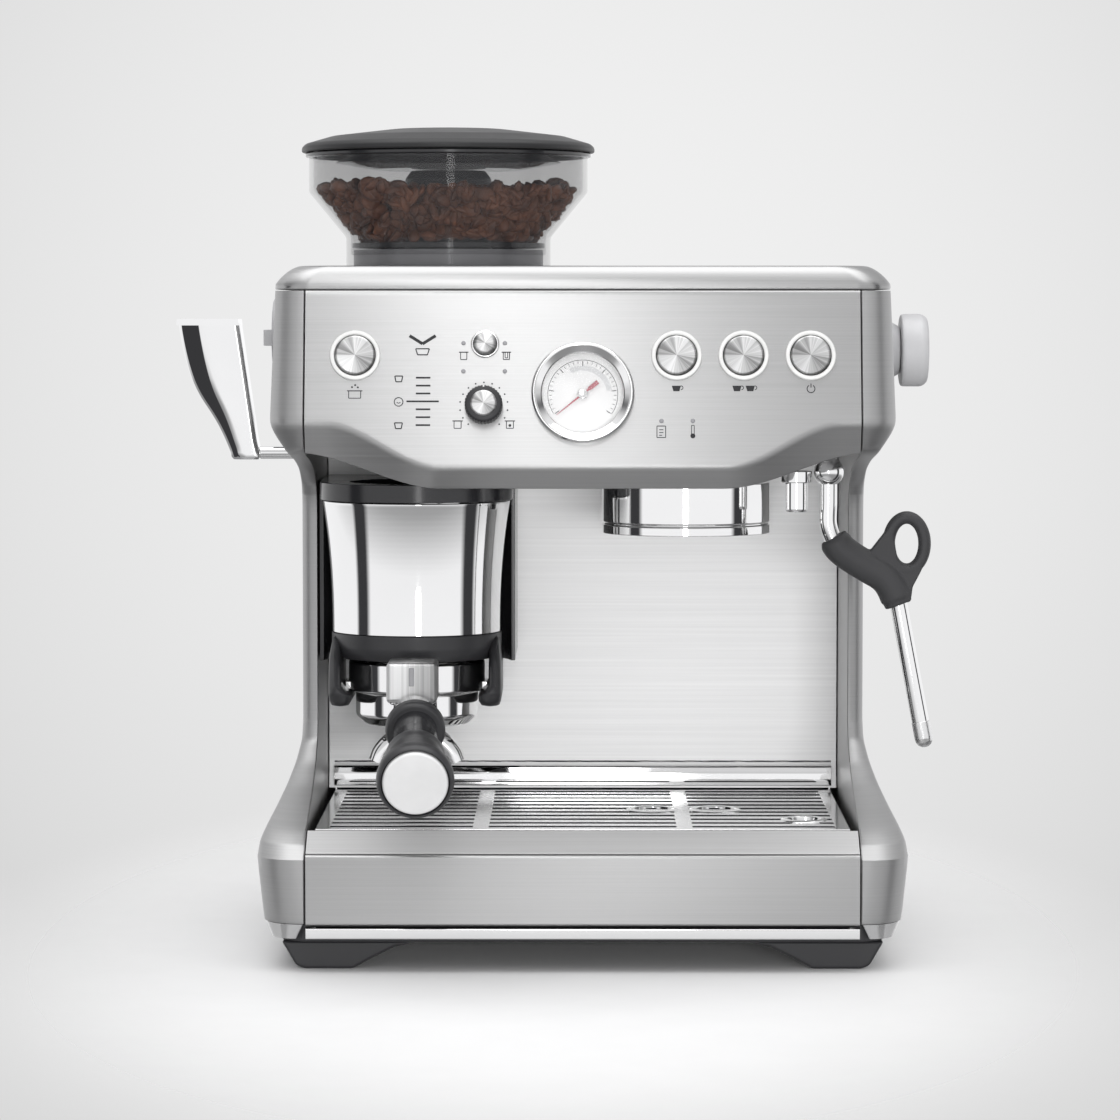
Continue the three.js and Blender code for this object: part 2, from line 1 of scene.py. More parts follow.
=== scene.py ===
"""The looks of an espresso machine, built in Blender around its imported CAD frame.

Lengths inside the helpers are in millimetres from the body's own origin: x = 0 is the middle of the
body, y = 0 is its front plane and z = 0 is the counter. at() turns them into the frame's metres.
"""
import math
import random

import bmesh
import bpy
from mathutils import Matrix, Vector

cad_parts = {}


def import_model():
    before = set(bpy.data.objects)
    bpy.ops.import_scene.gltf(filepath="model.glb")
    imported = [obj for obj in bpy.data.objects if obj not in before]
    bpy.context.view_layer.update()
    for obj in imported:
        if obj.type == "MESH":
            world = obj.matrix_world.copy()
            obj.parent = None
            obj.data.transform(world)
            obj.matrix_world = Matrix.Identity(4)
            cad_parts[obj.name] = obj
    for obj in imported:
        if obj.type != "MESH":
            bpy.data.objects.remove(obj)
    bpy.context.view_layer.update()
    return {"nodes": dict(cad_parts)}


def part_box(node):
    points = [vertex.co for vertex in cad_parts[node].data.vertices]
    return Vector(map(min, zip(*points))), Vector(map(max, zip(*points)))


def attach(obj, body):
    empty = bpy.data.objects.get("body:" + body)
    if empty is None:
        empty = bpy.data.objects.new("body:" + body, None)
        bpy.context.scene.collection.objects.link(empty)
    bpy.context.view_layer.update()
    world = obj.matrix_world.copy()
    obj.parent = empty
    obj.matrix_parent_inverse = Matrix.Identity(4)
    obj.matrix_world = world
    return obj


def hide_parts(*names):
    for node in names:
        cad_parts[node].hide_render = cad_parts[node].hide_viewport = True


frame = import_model()
MM = 0.001

# ---- places worked out from the frame ----
PANEL_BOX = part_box("front_panel")
CHEEK_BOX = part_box("side_panel_right")
ORIGIN = Vector(((PANEL_BOX[0].x + PANEL_BOX[1].x) / 2, CHEEK_BOX[0].y, 0))


def at(x, y, z):
    """A place on the body, in the frame's metres."""
    return ORIGIN + Vector((x, y, z)) * MM


def body_box(node):
    """A CAD node's two corners in body millimetres."""
    return [(corner - ORIGIN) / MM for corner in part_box(node)]


def middle(node):
    low, high = body_box(node)
    return (low + high) / 2


SEAM_X = body_box("front_panel")[1].x + 0.3
BACK_Y = body_box("side_panel_right")[1].y
BASE_LOW = body_box("side_panel_right")[0].z
HEAD_TOP = body_box("side_panel_right")[1].z
HEAD_SEAM = body_box("front_panel")[1].z + 0.3
BASE_TOP = 57
LIP_LOW = body_box("front_panel")[0].z
LIP_HIGH = 252
CREASE_LOW = LIP_LOW + 10.3
CREASE_HIGH = 266
TILT = math.atan2(18, HEAD_SEAM - CREASE_LOW)
TOWER = middle("cradle")
HOPPER = middle("hopper")
GROUP = middle("group_head")

# ---- materials ----
NOISE_SPAN = (0.3, 0.7)


def node_material(name):
    material = bpy.data.materials.new(name)
    material.use_nodes = True
    tree = material.node_tree
    return material, tree, tree.nodes["Principled BSDF"]


def stretched_noise(tree, scale, detail=4.0, roughness=0.6):
    """Noise in object space, stretched by three scales."""
    place = tree.nodes.new("ShaderNodeTexCoord")
    mapping = tree.nodes.new("ShaderNodeMapping")
    mapping.inputs["Scale"].default_value = scale
    noise = tree.nodes.new("ShaderNodeTexNoise")
    noise.inputs["Scale"].default_value = 1.0
    noise.inputs["Detail"].default_value = detail
    noise.inputs["Roughness"].default_value = roughness
    tree.links.new(place.outputs["Object"], mapping.inputs["Vector"])
    tree.links.new(mapping.outputs["Vector"], noise.inputs["Vector"])
    return noise.outputs["Fac"]


def spread(tree, signal, start, end, low, high, smooth=False):
    """A signal that runs from start to end, as one that runs from low to high."""
    node = tree.nodes.new("ShaderNodeMapRange")
    if smooth:
        node.interpolation_type = "SMOOTHSTEP"
    for socket, value in (("From Min", start), ("From Max", end), ("To Min", low), ("To Max", high)):
        node.inputs[socket].default_value = value
    tree.links.new(signal, node.inputs["Value"])
    return node.outputs["Result"]


def ramp(tree, signal, first, last, between_them=()):
    """A signal as a colour, through (position, colour) stops."""
    node = tree.nodes.new("ShaderNodeValToRGB")
    stops = node.color_ramp.elements
    for stop, (position, colour) in zip(stops, (first, last)):
        stop.position = position
        stop.color = (*colour, 1)
    for position, colour in between_them:
        stops.new(position).color = (*colour, 1)
    tree.links.new(signal, node.inputs["Fac"])
    return node.outputs["Color"]


def maths(tree, operation, *terms):
    """One sum: each term is a number or another node's output."""
    node = tree.nodes.new("ShaderNodeMath")
    node.operation = operation
    for socket, term in zip(node.inputs, terms):
        if isinstance(term, (int, float)):
            socket.default_value = term
        else:
            tree.links.new(term, socket)
    return node.outputs[0]


def between(tree, noise, low, high):
    """Noise spread between two values."""
    return spread(tree, noise, *NOISE_SPAN, low, high)


def tint(tree, noise, low, high):
    """Noise as a colour between two colours."""
    return ramp(tree, noise, (NOISE_SPAN[0], low), (NOISE_SPAN[1], high))


def bump(tree, shader, factor, distance, strength=1.0):
    node = tree.nodes.new("ShaderNodeBump")
    node.inputs["Strength"].default_value = strength
    node.inputs["Distance"].default_value = distance
    tree.links.new(factor, node.inputs["Height"])
    tree.links.new(node.outputs["Normal"], shader.inputs["Normal"])


def brushed_metal(name, scale, tone=0.62, rough=(0.26, 0.36), anisotropy=0.6, metallic=1.0):
    """Steel brushed along one direction: streaks are long where the scale is small.
    The tangent comes from the piece's grain map, whose U runs across the brushing."""
    material, tree, shader = node_material(name)
    streaks = stretched_noise(tree, scale, detail=6.0)
    tree.links.new(tint(tree, streaks, (tone * 0.94,) * 3, (tone * 1.05,) * 3), shader.inputs["Base Color"])
    tree.links.new(between(tree, streaks, *rough), shader.inputs["Roughness"])
    shader.inputs["Metallic"].default_value = metallic
    shader.inputs["Anisotropic"].default_value = anisotropy
    tangent = tree.nodes.new("ShaderNodeTangent")
    tangent.direction_type = "UV_MAP"
    tangent.uv_map = "grain"
    tree.links.new(tangent.outputs["Tangent"], shader.inputs["Tangent"])
    bump(tree, shader, streaks, 0.00002, 0.5)
    return material


def spun_metal_painted_sheen(name, tone=0.72, rough=0.24):
    """Metal turned on a lathe, with its reflections painted into the colour: painted highlight and painted
    shade in sectors round its middle.
    """
    material, tree, shader = node_material(name)
    place = tree.nodes.new("ShaderNodeTexCoord")
    angle = tree.nodes.new("ShaderNodeTexGradient")
    angle.gradient_type = "RADIAL"
    tree.links.new(place.outputs["Object"], angle.inputs["Vector"])
    # Radial streaks of painted sheen, from noise round the middle.
    painted_sheen_streaks = tree.nodes.new("ShaderNodeTexNoise")
    painted_sheen_streaks.noise_dimensions = "1D"
    painted_sheen_streaks.inputs["Scale"].default_value = 9
    painted_sheen_streaks.inputs["Detail"].default_value = 5
    painted_sheen_streaks.inputs["Roughness"].default_value = 0.7
    tree.links.new(angle.outputs["Fac"], painted_sheen_streaks.inputs["W"])
    # Two bright and two dark lobes across the face: a painted bow-tie highlight.
    painted_highlight_turn = maths(tree, "MULTIPLY_ADD", angle.outputs["Fac"], 4 * math.pi, -2.0)
    painted_highlight_lobes = maths(tree, "COSINE", painted_highlight_turn)
    painted_sheen_tone = maths(tree, "MULTIPLY_ADD", painted_highlight_lobes, 0.13, painted_sheen_streaks.outputs["Fac"])
    tree.links.new(tint(tree, painted_sheen_tone, (tone * 0.42,) * 3, (min(tone * 1.3, 0.96),) * 3),
                   shader.inputs["Base Color"])
    shader.inputs["Metallic"].default_value = 1
    shader.inputs["Roughness"].default_value = rough
    return material


def polished_metal(name, tone=0.86, rough=(0.03, 0.07)):
    material, tree, shader = node_material(name)
    smudges = stretched_noise(tree, (28, 28, 28), detail=3.0)
    tree.links.new(between(tree, smudges, *rough), shader.inputs["Roughness"])
    tree.links.new(tint(tree, smudges, (tone * 0.98,) * 3, (tone,) * 3), shader.inputs["Base Color"])
    shader.inputs["Metallic"].default_value = 1
    return material


def moulded(name, colour, rough=(0.34, 0.44), grain=0.00002, grain_scale=2600):
    """Moulded plastic or rubber: a fine grain and slightly uneven gloss."""
    material, tree, shader = node_material(name)
    cloud = stretched_noise(tree, (40, 40, 40), detail=3.0)
    fine = stretched_noise(tree, (grain_scale,) * 3, detail=2.0)
    darker = tuple(c * 0.85 for c in colour)
    tree.links.new(tint(tree, cloud, darker, colour), shader.inputs["Base Color"])
    tree.links.new(between(tree, cloud, *rough), shader.inputs["Roughness"])
    bump(tree, shader, fine, grain, 0.4)
    return material


def see_through(name, colour, alpha, rough=(0.03, 0.07)):
    """Thin clear or smoked plastic, dark only by its own tint."""
    material, tree, shader = node_material(name)
    cloud = stretched_noise(tree, (30, 30, 30), detail=2.0)
    tree.links.new(between(tree, cloud, *rough), shader.inputs["Roughness"])
    tree.links.new(tint(tree, cloud, colour, tuple(c * 1.1 for c in colour)), shader.inputs["Base Color"])
    shader.inputs["Alpha"].default_value = alpha
    return material


def lamp_material(name, colour, strength):
    material, tree, shader = node_material(name)
    cloud = stretched_noise(tree, (900, 900, 900))
    tree.links.new(tint(tree, cloud, tuple(c * 0.9 for c in colour), colour), shader.inputs["Base Color"])
    shader.inputs["Emission Color"].default_value = (*colour, 1)
    shader.inputs["Emission Strength"].default_value = strength
    shader.inputs["Roughness"].default_value = 0.3
    return material


def bean_material():
    material, tree, shader = node_material("coffee_beans")
    patches = stretched_noise(tree, (90, 90, 90), detail=4.0)
    tree.links.new(tint(tree, patches, (0.05, 0.017, 0.008), (0.20, 0.075, 0.036)),
                   shader.inputs["Base Color"])
    tree.links.new(between(tree, patches, 0.3, 0.5), shader.inputs["Roughness"])
    bump(tree, shader, stretched_noise(tree, (600, 600, 600)), 0.0002, 0.5)
    return material


BRUSHED = brushed_metal("brushed_steel", (7, 7, 1500), tone=0.43, rough=(0.30, 0.38), anisotropy=0.75)
BRUSHED_SIDE = brushed_metal("brushed_side", (7, 7, 1500), tone=0.45, rough=(0.42, 0.5), anisotropy=0.4)
BRUSHED_DECK = brushed_metal("brushed_deck", (7, 1500, 7), rough=(0.34, 0.42))
POLISHED_WALL = brushed_metal("satin_wall", (5, 5, 900), tone=0.88, rough=(0.48, 0.56), anisotropy=0.2,
                              metallic=0.15)
SILL = brushed_metal("satin_sill", (7, 7, 1500), tone=0.5, rough=(0.44, 0.52), anisotropy=0.2, metallic=0.4)
CHROME = polished_metal("chrome")
GRATE_METAL = polished_metal("grate_metal", tone=0.84, rough=(0.12, 0.16))
# Button caps, dial cap and filter holder face carry painted highlight lobes in their colour.
SPUN_PAINTED_SHEEN = spun_metal_painted_sheen("spun_metal_painted_sheen", tone=0.52, rough=0.34)
DISC = brushed_metal("satin_disc", (40, 40, 40), tone=0.72, rough=(0.34, 0.42), anisotropy=0, metallic=0.5)
BLACK = moulded("black_plastic", (0.022, 0.022, 0.024))
GLOSS_BLACK = moulded("gloss_black", (0.018, 0.018, 0.02), rough=(0.14, 0.2), grain=0.000002)
LID_BLACK = moulded("lid_black", (0.022, 0.022, 0.023), rough=(0.36, 0.44))
LID_BLACK.node_tree.nodes["Principled BSDF"].inputs["Specular IOR Level"].default_value = 0.3
RUBBER = moulded("black_rubber", (0.035, 0.035, 0.037), rough=(0.5, 0.62), grain=0.00005, grain_scale=1800)
GREY = moulded("grey_plastic", (0.50, 0.50, 0.51), rough=(0.3, 0.4))
DARK_GREY = moulded("dark_grey_plastic", (0.24, 0.24, 0.25), rough=(0.3, 0.4))
FACE = moulded("gauge_face", (0.66, 0.66, 0.66), rough=(0.4, 0.5), grain=0.000002)
PALE = moulded("pale_plastic", (0.68, 0.68, 0.67), rough=(0.25, 0.32), grain=0.000004)
INK = moulded("printed_ink", (0.014, 0.014, 0.016), rough=(0.5, 0.6), grain=0.000002)
RED = moulded("needle_red", (0.30, 0.035, 0.06), rough=(0.3, 0.4), grain=0.000004)
SMOKE = see_through("smoked_plastic", (0.05, 0.05, 0.053), 0.22)
SMOKE_PLATE = see_through("smoked_lid_plate", (0.03, 0.03, 0.032), 0.72)
GLASS = see_through("clear_glass", (0.9, 0.9, 0.9), 0.06)
TANK = see_through("tank_plastic", (0.12, 0.13, 0.14), 0.5, (0.08, 0.14))
BEANS = bean_material()
COPPER = brushed_metal("cast_heater", (60, 60, 60), tone=0.4, rough=(0.4, 0.5), anisotropy=0)
COPPER.node_tree.nodes["Principled BSDF"].inputs["Specular Tint"].default_value = (1, 0.7, 0.5, 1)
BOARD = moulded("circuit_board", (0.03, 0.16, 0.08))
MOTOR = moulded("painted_motor", (0.12, 0.125, 0.13))
TIP = brushed_metal("satin_tip", (60, 60, 60), tone=0.8, rough=(0.24, 0.32), anisotropy=0)
LAMP_OFF = lamp_material("lamp_unlit", (0.25, 0.25, 0.26), 0.0)

# ---- mesh helpers ----


def map_grain(mesh):
    """A UV map whose U runs up, across the brushing, which is the way its highlights stretch."""
    grain = mesh.uv_layers.new(name="grain")
    for loop in mesh.loops:
        spot = mesh.vertices[loop.vertex_index].co
        grain.data[loop.index].uv = (10 * (spot.z + 0.1 * spot.y), 10 * (spot.x + spot.y))


def even_normals(made):
    """Shading normals weighted by face area, so that flat faces stay flat up to their rounded edges."""
    weigh = made.modifiers.new("even_normals", "WEIGHTED_NORMAL")
    weigh.keep_sharp = True


def piece(name, mesh, material, body, replaces=(), sharp=30):
    """Puts a mesh in the scene as one piece of the machine."""
    for face in mesh.polygons:
        face.use_smooth = True
    mesh.set_sharp_from_angle(angle=math.radians(sharp))
    mesh.materials.clear()
    mesh.materials.append(material)
    map_grain(mesh)
    made = bpy.data.objects.new(name, mesh)
    bpy.context.scene.collection.objects.link(made)
    even_normals(made)
    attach(made, body)
    if replaces:
        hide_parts(*replaces)
    return made


def mesh_of(name, points, faces):
    mesh = bpy.data.meshes.new(name)
    mesh.from_pydata([tuple(p) for p in points], [], faces)
    work = bmesh.new()
    work.from_mesh(mesh)
    bmesh.ops.remove_doubles(work, verts=work.verts, dist=1e-7)
    bmesh.ops.recalc_face_normals(work, faces=work.faces)
    work.to_mesh(mesh)
    work.free()
    return mesh


def skin(rings, closed=True, ends=True):
    """Points and faces of a surface through rings of points, all of one length."""
    size = len(rings[0])
    points = [p for ring in rings for p in ring]
    faces = []
    for k in range(len(rings) - 1):
        for i in range(size if closed else size - 1):
            a, b = k * size + i, k * size + (i + 1) % size
            faces.append((a, b, b + size, a + size))
    if ends:
        faces.append(tuple(range(size)))
        faces.append(tuple(range((len(rings) - 1) * size, len(rings) * size)))
    return points, faces


def lathe_mesh(name, profile, sides=96):
    """A profile of (radius, height) pairs in millimetres spun about Z, in metres."""
    points, faces = [], []
    for r, z in profile:
        for k in range(sides):
            turn = 2 * math.pi * k / sides
            points.append((r * math.cos(turn) * MM, r * math.sin(turn) * MM, z * MM))
    for row in range(len(profile) - 1):
        for k in range(sides):
            a, b = row * sides + k, row * sides + (k + 1) % sides
            faces.append((a, b, b + sides, a + sides))
    return mesh_of(name, points, faces)


def rounded(profile, radius, steps=4):
    """The profile with every corner but its ends turned into a curve that starts radius away from it."""
    out = [profile[0]]
    for before, corner, after in zip(profile, profile[1:], profile[2:]):
        p, q, r = Vector(before), Vector(corner), Vector(after)
        reach_in = min(radius, (p - q).length * 0.48)
        reach_out = min(radius, (r - q).length * 0.48)
        start = q + (p - q).normalized() * reach_in
        end = q + (r - q).normalized() * reach_out
        for k in range(steps + 1):
            t = k / steps
            out.append(tuple(start * (1 - t) ** 2 + q * 2 * t * (1 - t) + end * t ** 2))
    out.append(profile[-1])
    return out


def turned(name, profile, place, material, body, replaces=(), edge=0.6, sides=96, sharp=40):
    """A lathed piece standing on Z at a place in body millimetres."""
    mesh = lathe_mesh(name, rounded(profile, edge), sides)
    made = piece(name, mesh, material, body, replaces, sharp)
    made.location = at(*place)
    return made


def softened(node, material, body, edge=0.5, name=None, steps=2, sharp=30):
    """A CAD node's own shape with its edges rounded over and its flat faces joined up."""
    work = bmesh.new()
    work.from_mesh(frame["nodes"][node].data)
    bmesh.ops.remove_doubles(work, verts=work.verts, dist=2e-6)
    bmesh.ops.dissolve_limit(work, angle_limit=math.radians(1), verts=work.verts, edges=work.edges)
    corners = [e for e in work.edges
               if len(e.link_faces) == 2 and e.calc_face_angle(0) > math.radians(sharp)]
    bmesh.ops.bevel(work, geom=corners, offset=edge * MM, segments=steps, profile=0.5, affect="EDGES",
                    clamp_overlap=True, offset_type="OFFSET")
    mesh = bpy.data.meshes.new(name or node + "_fine")
    work.to_mesh(mesh)
    work.free()
    return piece(name or node + "_fine", mesh, material, body, (node,), sharp)


def across_x(name, outline, x0, x1, material, body, replaces=(), edge=0.6, steps=4):
    """An outline in Y and Z drawn out along X, with its corners rounded."""
    bent = rounded([*outline, outline[0], outline[1]], edge, steps)[1:-1]
    mesh = mesh_of(name, *skin([[at(x, y, z) for y, z in bent] for x in (x0, x1)]))
    return piece(name, mesh, material, body, replaces, sharp=32)


def blend_line(keys, x):
    """The value at x on the straight lines between (x, value) keys."""
    if x <= keys[0][0]:
        return keys[0][1]
    for (x0, v0), (x1, v1) in zip(keys, keys[1:]):
        if x <= x1:
            return v0 + (v1 - v0) * (x - x0) / (x1 - x0)
    return keys[-1][1]


def rise(t):
    """A smooth step from 0 to 1."""
    t = min(max(t, 0), 1)
    return t * t * (3 - 2 * t)


def tube_mesh(name, path, radii, sides=32, squash=1.0):
    """A round tube through points in body millimetres, with a radius at each point and closed ends."""
    points = [Vector(p) for p in path]
    rings = []
    up = Vector((0, 1, 0))
    for k, p in enumerate(points):
        ahead = points[min(k + 1, len(points) - 1)] - points[max(k - 1, 0)]
        ahead.normalize()
        across = ahead.cross(up).normalized()
        over = across.cross(ahead)
        ring = []
        for i in range(sides):
            turn = 2 * math.pi * i / sides
            offset = across * math.cos(turn) + over * math.sin(turn) * squash
            ring.append(at(*(p + offset * radii[k])))
        rings.append(ring)
    return mesh_of(name, *skin(rings))


def spline(points, steps=8):
    """A Catmull-Rom path through given points."""
    pts = [Vector(p) for p in points]
    pts = [2 * pts[0] - pts[1], *pts, 2 * pts[-1] - pts[-2]]
    out = []
    for k in range(1, len(pts) - 2):
        a, b, c, d = pts[k - 1:k + 3]
        for s in range(steps):
            t = s / steps
            out.append(0.5 * ((2 * b) + (c - a) * t + (2 * a - 5 * b + 4 * c - d) * t ** 2
                              + (3 * b - a - 3 * c + d) * t ** 3))
    out.append(pts[-2])
    return out


def cut(target, mesh):
    """Cuts a closed mesh out of a piece."""
    tool = bpy.data.objects.new("cutter", mesh)
    bpy.context.scene.collection.objects.link(tool)
    target.modifiers.clear()
    change = target.modifiers.new("cut", "BOOLEAN")
    change.operation = "DIFFERENCE"
    change.solver = "EXACT"
    change.object = tool
    bpy.context.view_layer.update()
    done = bpy.data.meshes.new_from_object(target.evaluated_get(bpy.context.evaluated_depsgraph_get()))
    target.modifiers.clear()
    target.data = done
    even_normals(target)
    bpy.data.objects.remove(tool)


# ---- side panels: a base, a column and a head, seen from the side as a C ----
FRONT_EDGE = [
    (BASE_LOW, 0.8), (BASE_LOW + 1, 0), (BASE_TOP - 1, 0), (BASE_TOP + 1, 1.0), (62, 7), (68, 18), (75, 42),
    (83, 71), (92, 92), (102, 106), (112, 110), (225, 110), (234, 104), (241, 88), (246, 60), (249.5, 30),
    (251.5, 14), (253, 11.2), (264.5, 5), (267.5, 4.8), (HEAD_SEAM, 18), (334, 18.9), (HEAD_TOP, 21),
]
OUTER_SIDE = [
    (BASE_LOW, 155.3), (BASE_LOW + 1.2, 155.8), (BASE_TOP - 1.5, 159), (BASE_TOP + 1, 158.8), (62, 158),
    (68, 155.5), (75, 152), (83, 148.6), (92, 145.6), (102, 143.4), (112, 143), (249, 143), (252, 143.7),
    (259, 148.6), (264.5, 151.6), (268, 152), (HEAD_SEAM, 150), (334.5, 149.6), (HEAD_TOP, 137),
]
CORNER_STEPS = [k / 12 * math.pi / 2 for k in range(13)]
CHEEK_RADIUS = 20
BENDS = ((57, 112), (222, 270))
LEVEL, FINE_LEVEL = 6, 1.2


def eased(keys, x, reach=2.0):
    """The key line with its corners softened over a short reach."""
    samples = [blend_line(keys, x + reach * step / 4) for step in range(-4, 5)]
    return sum(samples) / len(samples)


def cheek_ring(z, side, inset=0.0):
    """A side panel's section at one height, rounded at its outer front corner."""
    front = eased(FRONT_EDGE, z) + inset
    outer = eased(OUTER_SIDE, z, 2.5) - inset
    inner = SEAM_X + 0.3 + inset
    radius = min(CHEEK_RADIUS, outer - inner - 0.4)
    plan = [(inner, front + 0.6), (inner + 0.6, front)]
    plan += [(outer - radius + radius * math.sin(turn), front + radius - radius * math.cos(turn))
             for turn in CORNER_STEPS]
    plan += [(outer, BACK_Y - 3 - inset), (outer - min(3, radius), BACK_Y - inset), (inner, BACK_Y - inset)]
    return [at(side * x, y, z) for x, y in plan]


def side_panel(side, node):
    """A skin over the side panel, with close levels where its outline bends."""
    levels = [BASE_LOW, BASE_LOW + 0.6]
    z = BASE_LOW + FINE_LEVEL
    while z < HEAD_SEAM - 1:
        levels.append(z)
        bends = any(low < z < high for low, high in BENDS)
        z += FINE_LEVEL if bends else LEVEL
    levels.append(HEAD_SEAM - 0.3)
    mesh = mesh_of(node + "_skin", *skin([cheek_ring(z, side) for z in levels]))
    piece(node + "_skin", mesh, BRUSHED_SIDE, "housing", (node,), sharp=32)


side_panel(1, "side_panel_right")
side_panel(-1, "side_panel_left")

# ---- front panel ----
PANEL_EDGE = SEAM_X - 0.3
CREASE_STEP = (70, 55)
LIP_STEP = (68, 72)


def crease_z(x):
    """The height of the crease: low in the middle, with a step up on each side."""
    start, width = CREASE_STEP
    return CREASE_LOW + (CREASE_HIGH - CREASE_LOW) * rise((abs(x) - start) / width)


def lip_z(x):
    """The height of the lower edge, stepped like the crease."""
    start, width = LIP_STEP
    return LIP_LOW + (LIP_HIGH - LIP_LOW) * rise((abs(x) - start) / width)


def fascia_y(z):
    """How far back the tilted face stands at a height."""
    return (z - CREASE_LOW) * math.tan(TILT)


def panel_ring(x):
    """The panel's section at x: the tilted face, a soft crease, the lower band and its thickness."""
    top = HEAD_SEAM - 0.3
    crease, lip = crease_z(x), lip_z(x)
    y = fascia_y(crease)
    corner = (y, crease)
    profile = [(fascia_y(top) + 0.6, top), (fascia_y(top - 0.8), top - 0.8), corner, (y + 6, lip),
               (y + 8.5, lip + 0.8), (y + 2.5, crease + 0.4), (fascia_y(top) + 2.5, top)]
    bent = [profile[0], profile[1], (fascia_y(top - 2.5), top - 2.5), (fascia_y(crease + 5), crease + 5),
            (fascia_y(crease + 3.5), crease + 3.5)]
    bent += rounded([profile[1], corner, profile[3]], 2.2, 6)[1:-1]
    bent += rounded([corner, profile[3], profile[4]], 0.7, 3)[1:-1]
    bent += profile[5:]
    return [at(x, yy, zz) for yy, zz in bent]


def on_panel(x, z, out=0.0):
    """The matrix that stands local Z out of the panel's face at a place."""
    turn = Matrix.Rotation(math.pi / 2 - TILT, 4, "X")
    place = Matrix.Translation(at(x, fascia_y(z), z))
    return place @ turn @ Matrix.Translation((0, 0, out * MM))


def put_on_panel(made, x, z, out=0.0):
    made.matrix_world = on_panel(x, z, out)
    return made


BUTTON_NAMES = ("dose", "one_cup", "two_cup", "power")
BUTTON_HOLE, FILTER_HOLE, GAUGE_HOLE = 10.2, 5.9, 20.6
BUTTON_PLACES = {name: middle("button_" + name) for name in BUTTON_NAMES}
FILTER = middle("button_filter")
DIAL = middle("dose_dial")
GAUGE = middle("gauge_bezel")


def panel_z(place):
    """Where on the panel's face a control stands, from the middle of its box."""
    return place.z - (fascia_y(place.z) - place.y) * math.tan(TILT) * math.cos(TILT) ** 2


def control(name, profile, place, material, body, replaces=(), edge=0.4, sides=96, sharp=40):
    made = piece(name, lathe_mesh(name, rounded(profile, edge), sides), material, body, replaces,
                 sharp)
    return put_on_panel(made, place.x, panel_z(place))


def across_panel(count):
    """Places from one edge of the panel to the other."""
    return [-PANEL_EDGE + 2 * PANEL_EDGE * k / count for k in range(count + 1)]


def front_panel():
    """The panel's skin, with a hole for each button and for the gauge."""
    rings = [panel_ring(x) for x in across_panel(150)]
    made = piece("front_panel_skin", mesh_of("front_panel_skin", *skin(rings)), BRUSHED, "housing",
                 ("front_panel",), sharp=32)
    holes = [(p, BUTTON_HOLE) for p in BUTTON_PLACES.values()] + [(FILTER, FILTER_HOLE),
                                                                  (GAUGE, GAUGE_HOLE)]
    for place, radius in holes:
        cutter = lathe_mesh("hole", [(0, -9), (radius, -9), (radius, 9), (0, 9)], 72)
        cutter.transform(on_panel(place.x, panel_z(place)))
        cut(made, cutter)


front_panel()


def underside():
    """The plate under the head, bent to the panel's lower edge."""
    front, back, thick = 14, body_box("head_underside")[1].y, 2
    rings = []
    for x in across_panel(100):
        low = lip_z(x)
        high = low + thick
        rings.append([at(x, front, low), at(x, back, low), at(x, back, high), at(x, front, high)])
    piece("head_underside_skin", mesh_of("head_underside_skin", *skin(rings)), BRUSHED_DECK, "housing",
          ("head_underside",))


underside()

# ---- round controls on the panel ----


def button(name):
    place = BUTTON_PLACES[name]
    control(f"ring_{name}_fine", [(10.0, -1.5), (10.0, 1.2), (10.7, 1.8), (12.0, 1.5), (12.3, 0.3),
                                  (12.3, 0.0)], place, PALE, "housing", (f"ring_{name}",),
            edge=0.35)
    control(f"button_{name}_cap", [(0, 1.95), (8.9, 2.3), (9.6, 1.7), (9.6, -7), (0, -7)], place, SPUN_PAINTED_SHEEN,
            f"press_{name}", (f"button_{name}",), edge=0.3)


for button_name in BUTTON_NAMES:
    button(button_name)

control("button_filter_cap", [(0, 3.1), (4.4, 2.9), (5.5, 2.1), (5.5, -7), (0, -7)], FILTER, SPUN_PAINTED_SHEEN,
        "press_filter", ("button_filter",), edge=0.5)
control("filter_ring", [(5.7, -1), (5.7, 0.6), (6.6, 0.5), (6.9, 0.0)], FILTER, CHROME, "housing")


def knurled_dial():
    """The dose dial: a dark grip with fine ridges and a metal cap; its pointer line comes in dial_dots."""
    sides = 180
    profile = [(0, -5.5), (3, -5.5), (3, 0.6), (9.2, 0.6), (9.2, 6.8), (8.4, 8.2), (6.6, 8.6), (0, 8.6)]
    mesh = lathe_mesh("dose_dial_grip", rounded(profile, 0.4), sides)
    for vertex in mesh.vertices:
        radius = math.hypot(vertex.co.x, vertex.co.y)
        if radius > 8.9 * MM:
            turn = math.atan2(vertex.co.y, vertex.co.x)
            depth = 0.35 * MM * (0.5 + 0.5 * math.cos(turn * 36))
            vertex.co.x *= 1 - depth / radius
            vertex.co.y *= 1 - depth / radius
    grip = piece("dose_dial_grip", mesh, BLACK, "dose_knob", ("dose_dial",))
    put_on_panel(grip, DIAL.x, panel_z(DIAL))
    control("dose_dial_cap", [(0, 9.4), (5.6, 9.3), (6.3, 8.8), (6.3, 8.4)], DIAL, SPUN_PAINTED_SHEEN, "dose_knob",
            edge=0.3)


knurled_dial()


